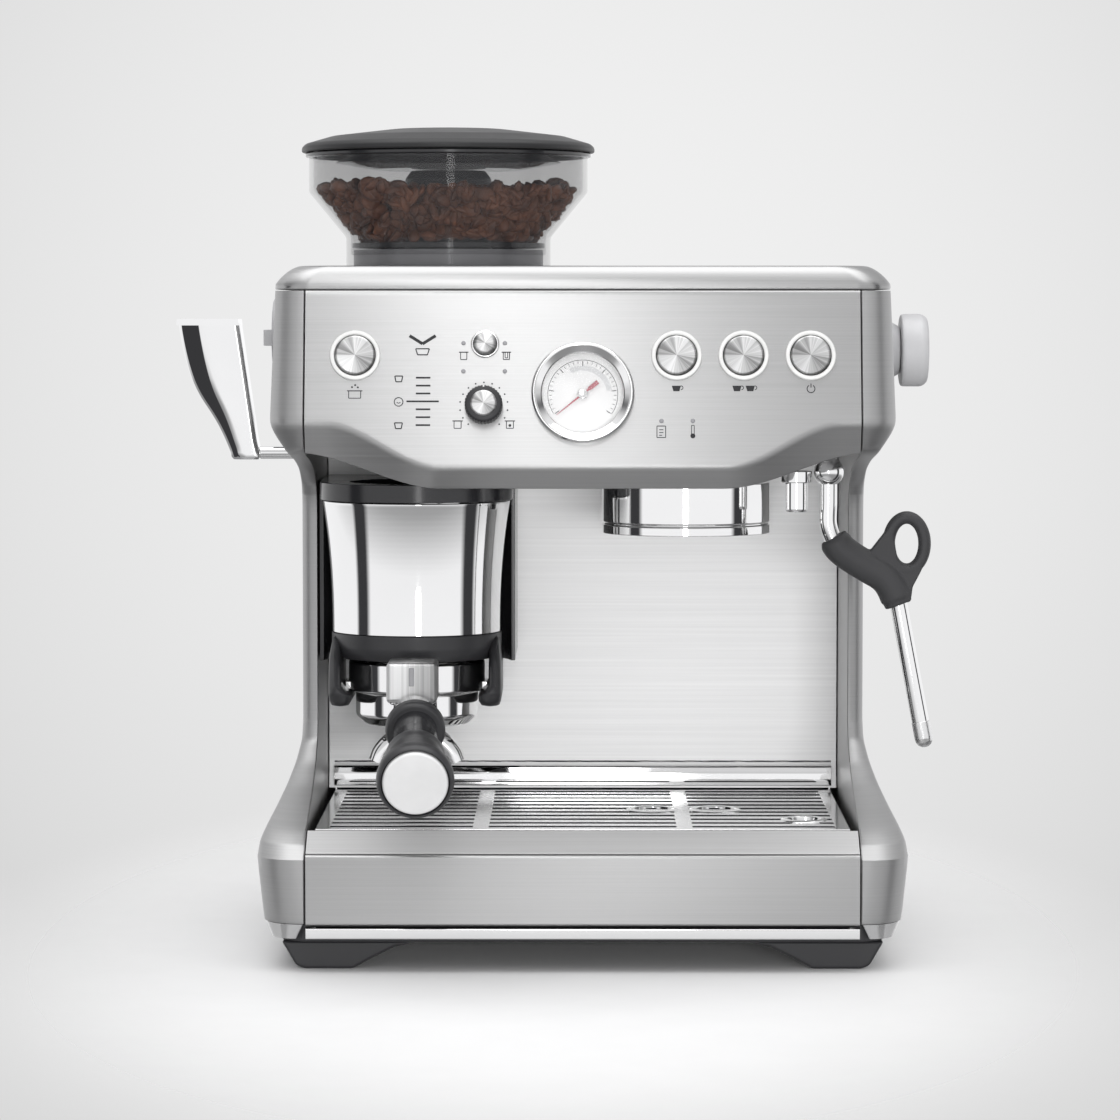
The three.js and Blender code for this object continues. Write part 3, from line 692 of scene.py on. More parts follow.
def flat_mark(name, outlines, place_x, place_z, material, body="housing", out=0.02,
              thick=0.06):
    """Thin printed shapes on the panel: each outline is a list of points in local millimetres."""
    work = bmesh.new()
    for points in outlines:
        low, high = ([work.verts.new((x * MM, y * MM, z * MM)) for x, y in points]
                     for z in (out, out + thick))
        work.faces.new(low)
        work.faces.new(high)
        for k in range(len(points)):
            work.faces.new((low[k - 1], low[k], high[k], high[k - 1]))
    bmesh.ops.recalc_face_normals(work, faces=work.faces)
    mesh = bpy.data.meshes.new(name)
    work.to_mesh(mesh)
    work.free()
    made = piece(name, mesh, material, body)
    return put_on_panel(made, place_x, place_z)


def bar_outline(x0, y0, x1, y1, width):
    """A straight stroke from one point to another."""
    a, b = Vector((x0, y0)), Vector((x1, y1))
    side = (b - a).normalized().orthogonal() * width / 2
    return [tuple(a + side), tuple(b + side), tuple(b - side), tuple(a - side)]


def disc_outline(x, y, radius, steps=20):
    return [(x + radius * math.cos(2 * math.pi * k / steps), y + radius * math.sin(2 * math.pi * k / steps))
            for k in range(steps)]


def arc_strokes(x, y, radius, start, end, width, steps=18):
    """A curved stroke as short pieces, with angles in degrees from the right, anticlockwise."""
    strokes = []
    for k in range(steps):
        a = math.radians(start + (end - start) * k / steps)
        b = math.radians(start + (end - start) * (k + 1) / steps)
        inner, outer = radius - width / 2, radius + width / 2
        strokes.append([(x + inner * math.cos(a), y + inner * math.sin(a)),
                        (x + outer * math.cos(a), y + outer * math.sin(a)),
                        (x + outer * math.cos(b), y + outer * math.sin(b)),
                        (x + inner * math.cos(b), y + inner * math.sin(b))])
    return strokes


SCALE_START, SCALE_SWEEP, SCALE_MARKS = 215, 250, 30
NEEDLE_REST = 219


def gauge():
    """The pressure gauge: bezel, white face with a scale, red needle with a counterweight, and glass."""
    z = panel_z(GAUGE)
    control("gauge_bezel_fine", [(19.4, -3), (19.4, 1.8), (20.0, 2.4), (23.0, 4.1), (24.0, 4.2),
                                 (24.8, 3.2), (24.8, 0)], GAUGE, CHROME, "housing",
            ("gauge_bezel",), edge=0.4)
    control("gauge_face", [(0, -3.0), (20.4, -3.0), (20.4, -19), (0, -19)], GAUGE, FACE, "housing",
            ("gauge_body",), edge=0.2)
    marks = []
    for k in range(SCALE_MARKS + 1):
        turn = math.radians(SCALE_START - SCALE_SWEEP * k / SCALE_MARKS)
        long = k % 5 == 0
        inner = 14.0 if long else 15.0
        marks.append(bar_outline(inner * math.cos(turn), inner * math.sin(turn), 16.4 * math.cos(turn),
                                 16.4 * math.sin(turn), 0.42 if long else 0.24))
    marks += arc_strokes(0, 0, 16.9, SCALE_START - SCALE_SWEEP, SCALE_START, 0.28, 60)
    flat_mark("gauge_scale", marks, GAUGE.x, z, INK, out=-2.98, thick=0.05)
    band = arc_strokes(0, 0, 12.9, 8, 118, 2.6, 30)
    flat_mark("gauge_band", band, GAUGE.x, z, GREY, out=-2.99, thick=0.04)
    turn = math.radians(NEEDLE_REST)
    tip = Vector((math.cos(turn), math.sin(turn)))
    across = tip.orthogonal()
    half_widths = ((16.4, 0.12), (2, 0.5), (-3, 0.5), (-4.4, 0.95), (-9.4, 1.05))
    blade = [tuple(tip * reach + across * half) for reach, half in half_widths]
    blade += [tuple(tip * reach - across * half) for reach, half in reversed(half_widths)]
    needle = flat_mark("gauge_needle_fine", [blade], GAUGE.x, z, RED, "needle", out=-1.9,
                       thick=0.4)
    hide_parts("gauge_needle")
    control("gauge_hub", [(0, -0.9), (2.2, -1.0), (2.7, -1.6), (2.7, -2.4)], GAUGE, CHROME, "needle",
            edge=0.3)
    control("gauge_glass", [(0, 1.4), (19.2, 1.1), (19.2, 0.7), (0, 0.8)], GAUGE, GLASS, "housing",
            ("gauge_lens",), edge=0.1)


gauge()

# ---- printed symbols and lamps ----
STROKE = 0.55


def cup_strokes(x, y, wide, tall):
    """A small cup: a tapered body drawn as four strokes, with a saucer line."""
    half, foot = wide / 2, wide * 0.36
    return [bar_outline(x - half, y + tall / 2, x - foot, y - tall / 2, STROKE),
            bar_outline(x + half, y + tall / 2, x + foot, y - tall / 2, STROKE),
            bar_outline(x - half, y + tall / 2, x + half, y + tall / 2, STROKE),
            bar_outline(x - foot, y - tall / 2, x + foot, y - tall / 2, STROKE)]


def cup_with_handle(x, y):
    body = [(x - 2.4, y + 1.3), (x + 2.0, y + 1.3), (x + 1.3, y - 1.4), (x - 1.6, y - 1.4)]
    return [body] + arc_strokes(x + 2.1, y + 0.3, 0.9, -100, 100, 0.4, 8)


def frame_strokes(x, y, wide, tall, width=0.4):
    left, right, low, high = x - wide / 2, x + wide / 2, y - tall / 2, y + tall / 2
    return [bar_outline(left, low, right, low, width), bar_outline(left, high, right, high, width),
            bar_outline(left, low, left, high, width), bar_outline(right, low, right, high, width)]


def basket_strokes(x, y, wide, walls):
    """A filter basket seen from the side, with one or two walls."""
    half = wide / 2
    strokes = [bar_outline(x - half, y + 1.8, x + half, y + 1.8, 0.5)]
    for k in range(walls):
        side, low = half - 0.8 - k * 0.9, -1.8 + k * 0.8
        strokes += [bar_outline(x - side, y + 1.8, x - side, y + low, 0.4),
                    bar_outline(x + side, y + 1.8, x + side, y + low, 0.4),
                    bar_outline(x - side, y + low, x + side, y + low, 0.4)]
    return strokes


def panel_symbols():
    """Pictures only: no words. They stand where the panel's print is."""
    dose, one, two, power = (BUTTON_PLACES[name].x for name in BUTTON_NAMES)
    marks = {
        "symbol_dose": (dose, 281.2, basket_strokes(0, -1, 7.4, 1) + [disc_outline(-1.3, 2.6, 0.5, 8),
                        disc_outline(0.2, 3.6, 0.5, 8), disc_outline(1.5, 2.5, 0.5, 8)]),
        "symbol_one_cup": (one, 283.2, cup_with_handle(0, 0)),
        "symbol_two_cups": (two, 283.2, cup_with_handle(-3.1, 0) + cup_with_handle(3.3, 0)),
        "symbol_power": (power, 283.0, arc_strokes(0, 0, 1.9, 120, 420, 0.45, 16)
                         + [bar_outline(0, 0.6, 0, 2.6, 0.45)]),
        "symbol_tamp": (-77.4, 304.0,
                        [bar_outline(-6.3, 4.6, 0, 0.6, 1.5), bar_outline(6.3, 4.6, 0, 0.6, 1.5)]
                        + cup_strokes(0, -3.3, 6.6, 3.0)),
        "symbol_single_wall": (FILTER.x - 10.3, 298.8, basket_strokes(0, 0, 4.6, 1)),
        "symbol_double_wall": (FILTER.x + 10.3, 298.8, basket_strokes(0, 0, 4.6, 2)),
        "symbol_less": (DIAL.x - 12.6, 265.8, basket_strokes(0, 0, 5.0, 1)),
        "symbol_more": (DIAL.x + 12.6, 265.8,
                        basket_strokes(0, 0, 5.0, 1) + [disc_outline(0, -0.4, 0.7, 10)]),
        "symbol_water": (37.8, 262.4, frame_strokes(0, 0, 4.2, 5.6) + [bar_outline(-1, 1, 1, 1, 0.4),
                         bar_outline(-1, -0.4, 1, -0.4, 0.4), bar_outline(-1, -1.7, 0.4, -1.7, 0.4)]),
        "symbol_heat": (53.0, 262.4,
                        frame_strokes(0, 0.9, 1.3, 4.4, 0.35) + [disc_outline(0, -2.0, 1.2, 14)]),
    }
    for name, (x, z, strokes) in marks.items():
        flat_mark(name, strokes, x, z, INK)


panel_symbols()


def dose_scale():
    """The level bars beside the dial, a long one in the middle, and three small pictures."""
    top, pitch = 288.3, 3.87
    strokes = []
    for row in range(7):
        half = 7.8 if row == 3 else 3.5
        shift = 0.0 if row == 3 else 0.2
        strokes.append(bar_outline(-half + shift, -row * pitch, half + shift, -row * pitch, 0.85))
    flat_mark("dose_level_bars", strokes, -77.2, top, INK)
    for row, shape in ((0.15, cup_strokes(0, 0, 3.8, 2.8)), (5.95, cup_strokes(0, 0, 3.8, 2.8)),
                       (3.0, arc_strokes(0, 0, 2.1, 0, 360, 0.45, 20)
                        + [bar_outline(-0.9, -0.2, 0, -0.7, 0.4), bar_outline(0, -0.7, 0.9, -0.2, 0.4)])):
        flat_mark(f"dose_level_symbol_{int(row)}", shape, -88.8, top - row * pitch, INK)


dose_scale()


def dial_dots():
    dots = [disc_outline(11.6 * math.cos(math.radians(a)), 11.6 * math.sin(math.radians(a)), 0.42, 10)
            for a in range(-50, 231, 20)]
    flat_mark("dial_dots", dots, DIAL.x, panel_z(DIAL), INK)
    flat_mark("dial_pointer", [bar_outline(0, 6.9, 0, 8.6, 0.7)], DIAL.x, panel_z(DIAL), PALE,
              body="dose_knob", out=8.2, thick=0.1)


dial_dots()

LAMPS = {
    "lamp_filter_left": (-57.6, 304.9), "lamp_filter_right": (-37.6, 304.9), "lamp_auto": (-57.6, 291.4),
    "lamp_manual": (-37.6, 291.4), "lamp_water": (37.9, 267.6), "lamp_heat": (53.0, 267.6),
}


def lamps():
    for name, (x, z) in LAMPS.items():
        mesh = lathe_mesh(name, [(0, 0.55), (0.7, 0.45), (1.1, 0.1), (1.1, -0.5)], 24)
        put_on_panel(piece(name, mesh, LAMP_OFF, "housing"), x, z)


lamps()

# ---- head, walls and base ----
CAP_TOP = HEAD_TOP - 0.1
WELL_FLOOR = 336.0


def cap_ring(z, half, front, back, radius):
    """One level of the top cap: a rectangle with rounded front corners."""
    right = [(half - radius + radius * math.sin(a),
              front + radius - radius * math.cos(a)) for a in CORNER_STEPS]
    right += [(half, back - 3), (half - 3, back)]
    left = [(-x, y) for x, y in reversed(right)]
    return [at(x, y, z) for x, y in right + left]


def top_cap():
    """The cap over the whole head: sloping edges, a rounded rim and the cup-warming well."""
    rings = [cap_ring(HEAD_SEAM + 0.3, 149.9, 18.7, BACK_Y - 0.3, 17),
             cap_ring(HEAD_SEAM + 1.0, 150.2, 18.4, BACK_Y - 0.1, 17.3)]
    for z in (333.5, 335.2, 336.8, 338.4, 339.6, 340.7, 341.5, 342.1, CAP_TOP):
        t = (z - 333.5) / (CAP_TOP - 333.5)
        bend = 1 - math.sqrt(max(0, 1 - t * t))
        rings.append(cap_ring(z, 150 - 6 * t - 6.5 * bend, 18.6 + 2 * t + 4.5 * bend,
                              BACK_Y - 0.1 - 4 * bend, 17))
    rings += [cap_ring(CAP_TOP, 128, 33, 247, 7), cap_ring(CAP_TOP - 0.6, 127.4, 33.6, 246.4, 6.6),
              cap_ring(WELL_FLOOR, 127, 34, 246, 6)]
    mesh = mesh_of("top_cap_skin", *skin(rings))
    piece("top_cap_skin", mesh, BRUSHED, "housing", ("top_cap",), sharp=38)


top_cap()
softened("back_wall", POLISHED_WALL, "housing", edge=0.3)


WALL_HALF = 131.4


def wall_foot():
    """The polished half-round strip along the foot of the back wall, and a black strip over it as painted
    shade in the gap.
    """
    foot = [(188.4, 68.9), (187.0, 69.6), (186.5, 72.5), (186.7, 76.5), (188.0, 79.8), (190.4, 81.6),
            (191.2, 81.6),
            (191.2, 68.9)]
    across_x("wall_foot_strip", foot, -WALL_HALF, WALL_HALF, CHROME, "housing", edge=0.8)
    # A thin black strip stands in for the shade in the gap: painted shade.
    across_x("wall_foot_gap_painted_shade", [(190.0, 81.7), (190.0, 82.9), (191.3, 82.9), (191.3, 81.7)], -WALL_HALF,
             WALL_HALF, BLACK, "housing", edge=0.1)


softened("rear_panel", BLACK, "housing", edge=0.4)
softened("base_pan", BLACK, "housing", edge=1.2, steps=3)
wall_foot()

for place in ("front_left", "front_right", "rear_left", "rear_right"):
    softened(f"foot_{place}", BLACK, "housing", edge=1.6, steps=4, sharp=20)


def tray_front():
    """The tray's front: a bent sheet, the sloping sill behind it and the bright strip under it."""
    across_x("tray_front_sheet", [(0, 23.4), (0, BASE_TOP), (1.8, BASE_TOP + 1.0), (4.6, BASE_TOP),
                                  (2.6, 55.8), (2.6, 23.4)], -PANEL_EDGE, PANEL_EDGE, BRUSHED, "tray",
             ("tray_front",), edge=0.9)
    across_x("tray_sill", [(1.9, BASE_TOP + 1.1), (17.6, 67.6), (18, 65.6), (4.4, BASE_TOP + 0.2)],
             -PANEL_EDGE, PANEL_EDGE, SILL, "tray", edge=0.5)
    across_x("tray_chrome_strip", [(0.2, 16.6), (0.0, 21.6), (2.4, 22.4), (2.6, 16.6)], -PANEL_EDGE,
             PANEL_EDGE, CHROME, "tray", edge=0.5)


tray_front()


TRIM_LOW = 16.2


def corner_trim(side, hand):
    """The polished skirt under each side panel, drawn in towards the feet."""
    rings = [cheek_ring(BASE_LOW, side, 0.9), cheek_ring(BASE_LOW, side, 4.4)]
    for ring, height in zip(rings, (BASE_LOW - 0.4, TRIM_LOW)):
        for p in ring:
            p.z = height * MM
    piece(f"corner_trim_{hand}", mesh_of(f"corner_trim_{hand}", *skin(rings)), CHROME, "housing")


corner_trim(1, "right")
corner_trim(-1, "left")

softened("drip_tray", BLACK, "tray", edge=0.8)
softened("tray_float", RED, "float", edge=1.2, steps=4)


GRATE_RINGS = ((35, 97, 11.5), (67, 97, 11.5), (110, 57, 9.8))
DISHES = 2


def grate():
    """The slotted grate: bright bars, slot walls in black as painted shade, three pressed rings and two
    shallow dishes.
    """
    made = softened("drip_grate", GRATE_METAL, "grate", edge=0.9, steps=3)
    # Black plastic on the sideways slot walls is painted shade in the slots.
    made.data.materials.append(BLACK)
    low, high = body_box("drip_grate")
    for face in made.data.polygons:
        middle_y = face.center.y - ORIGIN.y
        inside = low.y + 3 < middle_y / MM < high.y - 3
        if inside and face.normal.z < 0.45:
            face.material_index = 1
    for number, (x, y, radius) in enumerate(GRATE_RINGS):
        rim = [(radius - 2.6, high.z - 1.5), (radius - 1.6, high.z + 0.6), (radius, high.z + 0.9),
               (radius + 1.6, high.z + 0.3), (radius + 2.4, high.z - 1.0)]
        turned(f"grate_ring_{number}", [*rim, rim[0]], (x, y, 0), CHROME, "grate", edge=0.4)
        if number < DISHES:
            dish = [(0, high.z - 2.6), (4, high.z - 2.4), (radius - 2.2, high.z - 0.6),
                    (radius - 2.2, high.z - 2.9), (0, high.z - 2.9)]
            turned(f"grate_dish_{number}", dish, (x, y, 0), CHROME, "grate", edge=0.3)


grate()

# ---- grinder tower ----
softened("tower_cover", GLOSS_BLACK, "housing", edge=1.0, steps=3)
SHROUD = body_box("dosing_shroud")
SHROUD_R = (SHROUD[1].x - SHROUD[0].x) / 2


def shroud():
    """The polished funnel over the cradle, wider towards its top."""
    low, high = SHROUD[0].z, SHROUD[1].z
    outer = [(SHROUD_R - 4.5 + 4.5 * t ** 2.2, low + (high - low) * t) for t in (k / 24 for k in range(25))]
    inner = [(r - 2.4, z) for r, z in reversed(outer)]
    turned("dosing_shroud_skin", [*outer, *inner, outer[0]], (TOWER.x, TOWER.y, 0), CHROME, "housing",
           ("dosing_shroud",), edge=0.8, sides=160, sharp=60)


shroud()


CRADLE_BORE, CRADLE_LOW = 36.8, 146
JAW_LEVELS = (
    (122.6, 35.0, 41.2, 76, 110), (123.2, 33.4, 42.2, 73, 113), (125.4, 32.0, 43.0, 71, 115),
    (128.4, 31.8, 43.4, 69, 117), (130.0, 34.6, 43.4, 69, 118), (133.0, 36.8, 43.4, 69, 119),
    (143.0, 37.0, 43.3, 69.6, 120), (148.0, 37.0, 43.0, 72, 121), (153.0, 37.2, 42.4, 78, 119),
    (158.0, 37.4, 41.6, 87, 112),
)


def cradle():
    """The black cradle: a ring under the shroud and two rounded jaws that hold the filter holder."""
    low, high = body_box("cradle")
    outer = (high.x - low.x) / 2
    turned("cradle_ring", [(CRADLE_BORE, CRADLE_LOW), (outer - 2.2, CRADLE_LOW), (outer - 0.6, 149),
                           (outer, 152), (outer, high.z), (CRADLE_BORE, high.z), (CRADLE_BORE, CRADLE_LOW)],
           (TOWER.x, TOWER.y, 0), BLACK, "housing", ("cradle",), edge=1.0, sides=128)
    for side, hand in ((-1, "left"), (1, "right")):
        rings = []
        for z, inner, out, front, back in JAW_LEVELS:
            plan = [(inner, front + 3), (inner + 1.6, front + 0.6), (inner + 3.4, front),
                    (out - 3, front + 0.6),
                    (out - 0.8, front + 2.6), (out, front + 6), (out, back - 3), (out - 2, back),
                    (inner + 1, back),
                    (inner, back - 2)]
            rings.append([at(TOWER.x + side * x, y, z) for x, y in plan])
        mesh = mesh_of("jaw", *skin(rings))
        piece(f"cradle_jaw_{hand}", mesh, BLACK, "housing", sharp=50)


cradle()
turned("tamper_fine", [(0, 161), (25, 161), (26, 162), (26, 167), (9, 170), (8, 222), (0, 222)],
       (TOWER.x, TOWER.y, 0), CHROME, "tamp_piston", ("tamper",), edge=0.5)

# ---- tamping lever ----
LEVER = body_box("tamp_lever")
LEVER_LEFT = [(246, -176.5), (254, -179.6), (262, -183.2), (268, -186.6), (280, -195.0), (292, -199.4),
              (306, -202.6), (316.4, -204)]
LEVER_RIGHT = [(246, -162.4), (249, -162.6), (254, -164), (316.4, -173)]
LEVER_LEVELS = 60
FACET_SLOPE = 0.64
STUB_START, SHAFT_Z = -163, 249


def lever():
    """A chrome paddle with a slanting facet: wide at the top, narrowing to a foot at its shaft."""
    centre_y = (LEVER[0].y + LEVER[1].y) / 2
    low, high = LEVER[0].z, LEVER[1].z
    rings = []
    for k in range(LEVER_LEVELS + 1):
        t = k / LEVER_LEVELS
        z = low + (high - low) * t
        left, right = eased(LEVER_LEFT, z, 6), eased(LEVER_RIGHT, z, 3)
        end = 1 - 0.12 * max(0, 1 - min(t, 1 - t) * 40) ** 2
        half_x, half_y = (right - left) / 2 * end, 12 * end * (0.82 + 0.18 * t)
        middle_x = (left + right) / 2
        ridge = left + (right - left) * 0.40
        near, far = centre_y - half_y, centre_y + half_y
        slope = min(FACET_SLOPE * (ridge - left), 1.7 * half_y)
        section = [(middle_x - half_x, near + slope), (ridge, near), (middle_x + half_x, near + 0.6),
                   (middle_x + half_x, far), (middle_x - half_x, far)]
        bent = rounded([*section, section[0], section[1]], 2.4, 7)[1:-1]
        rings.append([at(x, y, z) for x, y in bent])
    piece("tamp_lever_paddle", mesh_of("tamp_lever_paddle", *skin(rings)), CHROME, "lever",
          ("tamp_lever",), sharp=32)
    top = [(-204, 313.2), (-203.6, 316.4), (-173, 316.4), (-172.6, 313.2)]
    mesh = mesh_of("lever_rim",
                   *skin([[at(x, y, z) for x, z in top] for y in (LEVER[0].y - 0.2, LEVER[1].y)]))
    piece("tamp_lever_rim", mesh, CHROME, "lever")
    stub = lathe_mesh("tamp_lever_stub", rounded([(0, 0), (3.2, 0), (3.2, 17), (0, 17)], 0.5), 40)
    made = piece("tamp_lever_stub", stub, CHROME, "lever")
    made.matrix_world = (Matrix.Translation(at(STUB_START, centre_y, SHAFT_Z))
                         @ Matrix.Rotation(math.pi / 2, 4, "Y"))


lever()

# ---- portafilter ----
HANDLE_END = middle("handle_cap")
HANDLE_START = Vector((TOWER.x + 0.4, TOWER.y - 30, 132.3))


def along_handle(name, profile, material, replaces=(), edge=0.6, sides=96):
    """A lathed piece laid along the handle, with heights counted from the bowl."""
    made = piece(name, lathe_mesh(name, rounded(profile, edge), sides), material, "filter_holder",
                 replaces, 40)
    turn = (HANDLE_END - HANDLE_START).to_track_quat("Z", "Y").to_matrix().to_4x4()
    made.matrix_world = Matrix.Translation(at(*HANDLE_START)) @ turn
    return made


def soft_block(name, size, place, edge, material, body):
    """A block with every edge rounded over."""
    work = bmesh.new()
    bmesh.ops.create_cube(work, size=1)
    bmesh.ops.scale(work, vec=Vector(size) * MM, verts=work.verts)
    bmesh.ops.bevel(work, geom=list(work.edges), offset=edge * MM, segments=5, profile=0.5, affect="EDGES")
    mesh = bpy.data.meshes.new(name)
    work.to_mesh(mesh)
    work.free()
    made = piece(name, mesh, material, body)
    made.location = at(*place)
    return made


def portafilter():
    """The filter holder: bowl, ears, bracket, neck, handle, basket and a double spout."""
    place = (TOWER.x, TOWER.y, 0)
    turned("portafilter_bowl", [(0, 112), (26.5, 112), (31, 116.5), (31, 129), (34.5, 129), (34.5, 144.3),
                                (29.6, 144.3), (29.6, 118), (0, 116)], place, CHROME, "filter_holder",
           ("portafilter",), edge=1.6, sides=128)
    for side, hand in ((-1, "left"), (1, "right")):
        soft_block(f"portafilter_ear_{hand}", (3.6, 18, 4.6), (TOWER.x + side * 34.4, TOWER.y, 131.7), 0.8,
                   CHROME, "filter_holder")
    soft_block("portafilter_bracket", (24, 40, 16.4), (TOWER.x + 0.4, 44, 136), 3.4, CHROME,
               "filter_holder")
    soft_block("portafilter_face", (24.8, 27, 20), (TOWER.x + 0.4, 37, 139), 2.2, SPUN_PAINTED_SHEEN, "filter_holder")
    # A dark grey block stands in for the shade in a slot: painted shade.
    soft_block("portafilter_slot_painted_shade", (2.6, 1, 9), (TOWER.x + 0.4, 23.4, 142), 0.45, DARK_GREY,
               "filter_holder")
    along_handle("portafilter_neck", [(0, 2), (12.4, 2), (11.6, 8), (10.8, 20), (11.0, 48), (11.4, 59),
                                      (10, 61), (0, 61)], CHROME, edge=1.4)
    along_handle("portafilter_collar", [(10, 58.6), (13.4, 59), (14.6, 61), (14.6, 65.6), (13.4, 67.8),
                                        (10, 68)], BLACK, edge=0.9)
    along_handle("portafilter_sleeve", [(9, 66), (10.8, 66.4), (10.8, 86), (11.6, 106), (9, 106.4)],
                 GLOSS_BLACK, edge=0.6)
    along_handle("portafilter_handle_grip", [(0, 103), (11.6, 103), (14.2, 104.6), (14.6, 108), (14.0, 112),
                                             (14.6, 118), (16.6, 128), (18.4, 135.5), (18.3, 139.5),
                                             (17, 142), (16.1, 142.2), (15.9, 139), (0, 139)], BLACK,
                 ("portafilter_handle",), edge=1.6)
    along_handle("handle_cap_disc", [(0, 139.4), (15.6, 139.4), (15.6, 141.6), (14.8, 142.6), (0, 143.4)],
                 DISC, ("handle_cap",), edge=0.8)
    turned("filter_basket_fine", [(0, 118.5), (25.5, 118.5), (29.2, 121), (29.2, 144.6), (28.2, 144.6),
                                  (28.2, 121.6), (25, 119.6), (0, 119.6)], place, CHROME, "filter_holder",
           ("filter_basket",), edge=0.3)
    spout_path = [[(side * x, 0, z) for x, z in ((0, 109), (7, 106), (13.5, 101.5), (17.6, 97), (19.8, 92))]
                  for side in (-1, 1)]
    for hand, path in zip(("left", "right"), spout_path):
        points = spline([(TOWER.x + x, TOWER.y + y, z) for x, y, z in path], 6)
        radii = [5.6 - 0.6 * k / (len(points) - 1) for k in range(len(points))]
        piece(f"spout_{hand}", tube_mesh(f"spout_{hand}", points, radii, 32), CHROME, "filter_holder",
              ("portafilter_spout",) if hand == "left" else ())
    turned("spout_hub", [(0, 102.5), (8.5, 102.5), (9, 104), (9, 111.6), (0, 111.6)], place, CHROME,
           "filter_holder", edge=1.2)


portafilter()

# ---- brewing, water and steam ----


def group():
    """The group head with its shower screen, and the hot water spout beside it."""
    place = (GROUP.x, GROUP.y, 0)
    start, end = body_box("group_head")
    low, high, r = start.z, end.z, (end.x - start.x) / 2
    turned("group_head_ring", [(36, 225), (36, low), (r, low), (r, low + 4.2), (r - 0.5, low + 4.7),
                               (r - 0.5, low + 5.4), (r, low + 5.9), (r, high), (0, high)], place, CHROME,
           "housing", ("group_head",), edge=0.4, sides=160)
    turned("group_ceiling", [(36, 225), (0, 225), (0, 226)], place, BLACK, "housing",
           edge=0.1)
    # The shower screen's colour holds the same painted highlight lobes and painted sheen streaks.
    screen = spun_metal_painted_sheen("screen_metal_painted_sheen", tone=0.6, rough=0.3)
    turned("shower_screen_fine", [(0, 220.4), (25, 220.6), (28, 221.6), (28, 224.6), (0, 224.6)], place,
           screen, "housing", ("shower_screen",), edge=0.5)
    spot = middle("hot_water_spout")
    low, high = (corner.z for corner in body_box("hot_water_spout"))
    turned("hot_water_spout_fine", [(3, low + 14), (3, low), (5, low), (5.5, low + 1.2), (5.5, high),
                                    (0, high)], (spot.x, spot.y, 0), CHROME, "housing",
           ("hot_water_spout",), edge=0.5)
    turned("hot_water_collar", [(5.6, high - 6), (7.6, high - 6), (7.6, high - 0.2), (5.6, high - 0.2)],
           (spot.x, spot.y, 0), CHROME, "housing", edge=0.5)


group()

WAND = middle("steam_wand")
WAND_TOP = Vector((121.8, WAND.y, 241))
WAND_PATH = [(121.8, 240), (121.8, 226), (121.9, 214), (127, 203), (138, 195.5), (149, 189), (154, 182.5),
             (156.5, 176), (160, 158), (165, 132), (169.2, 110.5)]
GRIP_PATH = [(124.2, 208.5), (127.4, 203.2), (133, 198.8), (141, 193.8), (149, 189), (153.4, 183.4),
             (156.8, 175)]
RING = {"x": 160.6, "z": 205.3, "wide": 8.9, "tall": 13.0, "band": 3.2}
TUBE_RADIUS, BALL_RADIUS = 4.3, 7.5
GRIP_RADIUS, GRIP_END_RADIUS = 7.9, 7.0
GRIP_VOXEL = 0.7


def wand():
    """The steam wand: a bent tube, its ball joint and its tip."""
    path = spline([(x, WAND.y, z) for x, z in WAND_PATH], 10)
    piece("steam_wand_tube", tube_mesh("steam_wand_tube", path, [TUBE_RADIUS] * len(path), 40), CHROME,
          "wand", ("steam_wand",), sharp=60)
    ball = lathe_mesh("steam_ball", [(BALL_RADIUS * math.cos(a), BALL_RADIUS * math.sin(a)) for a in
                                     (math.radians(-90 + 7.5 * k) for k in range(25))], 64)
    piece("steam_ball", ball, CHROME, "wand", sharp=60).location = at(*WAND_TOP)
    start, end = Vector(path[-1]), Vector(path[-1]) - Vector(path[-4])
    end.normalize()
    tip_profile = [(0, -6.5), (4.4, -6.5), (4.55, -6.2), (4.55, 2.0), (4.2, 3.8), (3.2, 5.4), (1.7, 6.4),
                   (0, 6.7)]
    tip = lathe_mesh("wand_tip", rounded(tip_profile, 0.3), 48)
    made = piece("wand_tip", tip, TIP, "wand", sharp=60)
    made.matrix_world = Matrix.Translation(at(*start)) @ end.to_track_quat("Z", "Y").to_matrix().to_4x4()


wand()


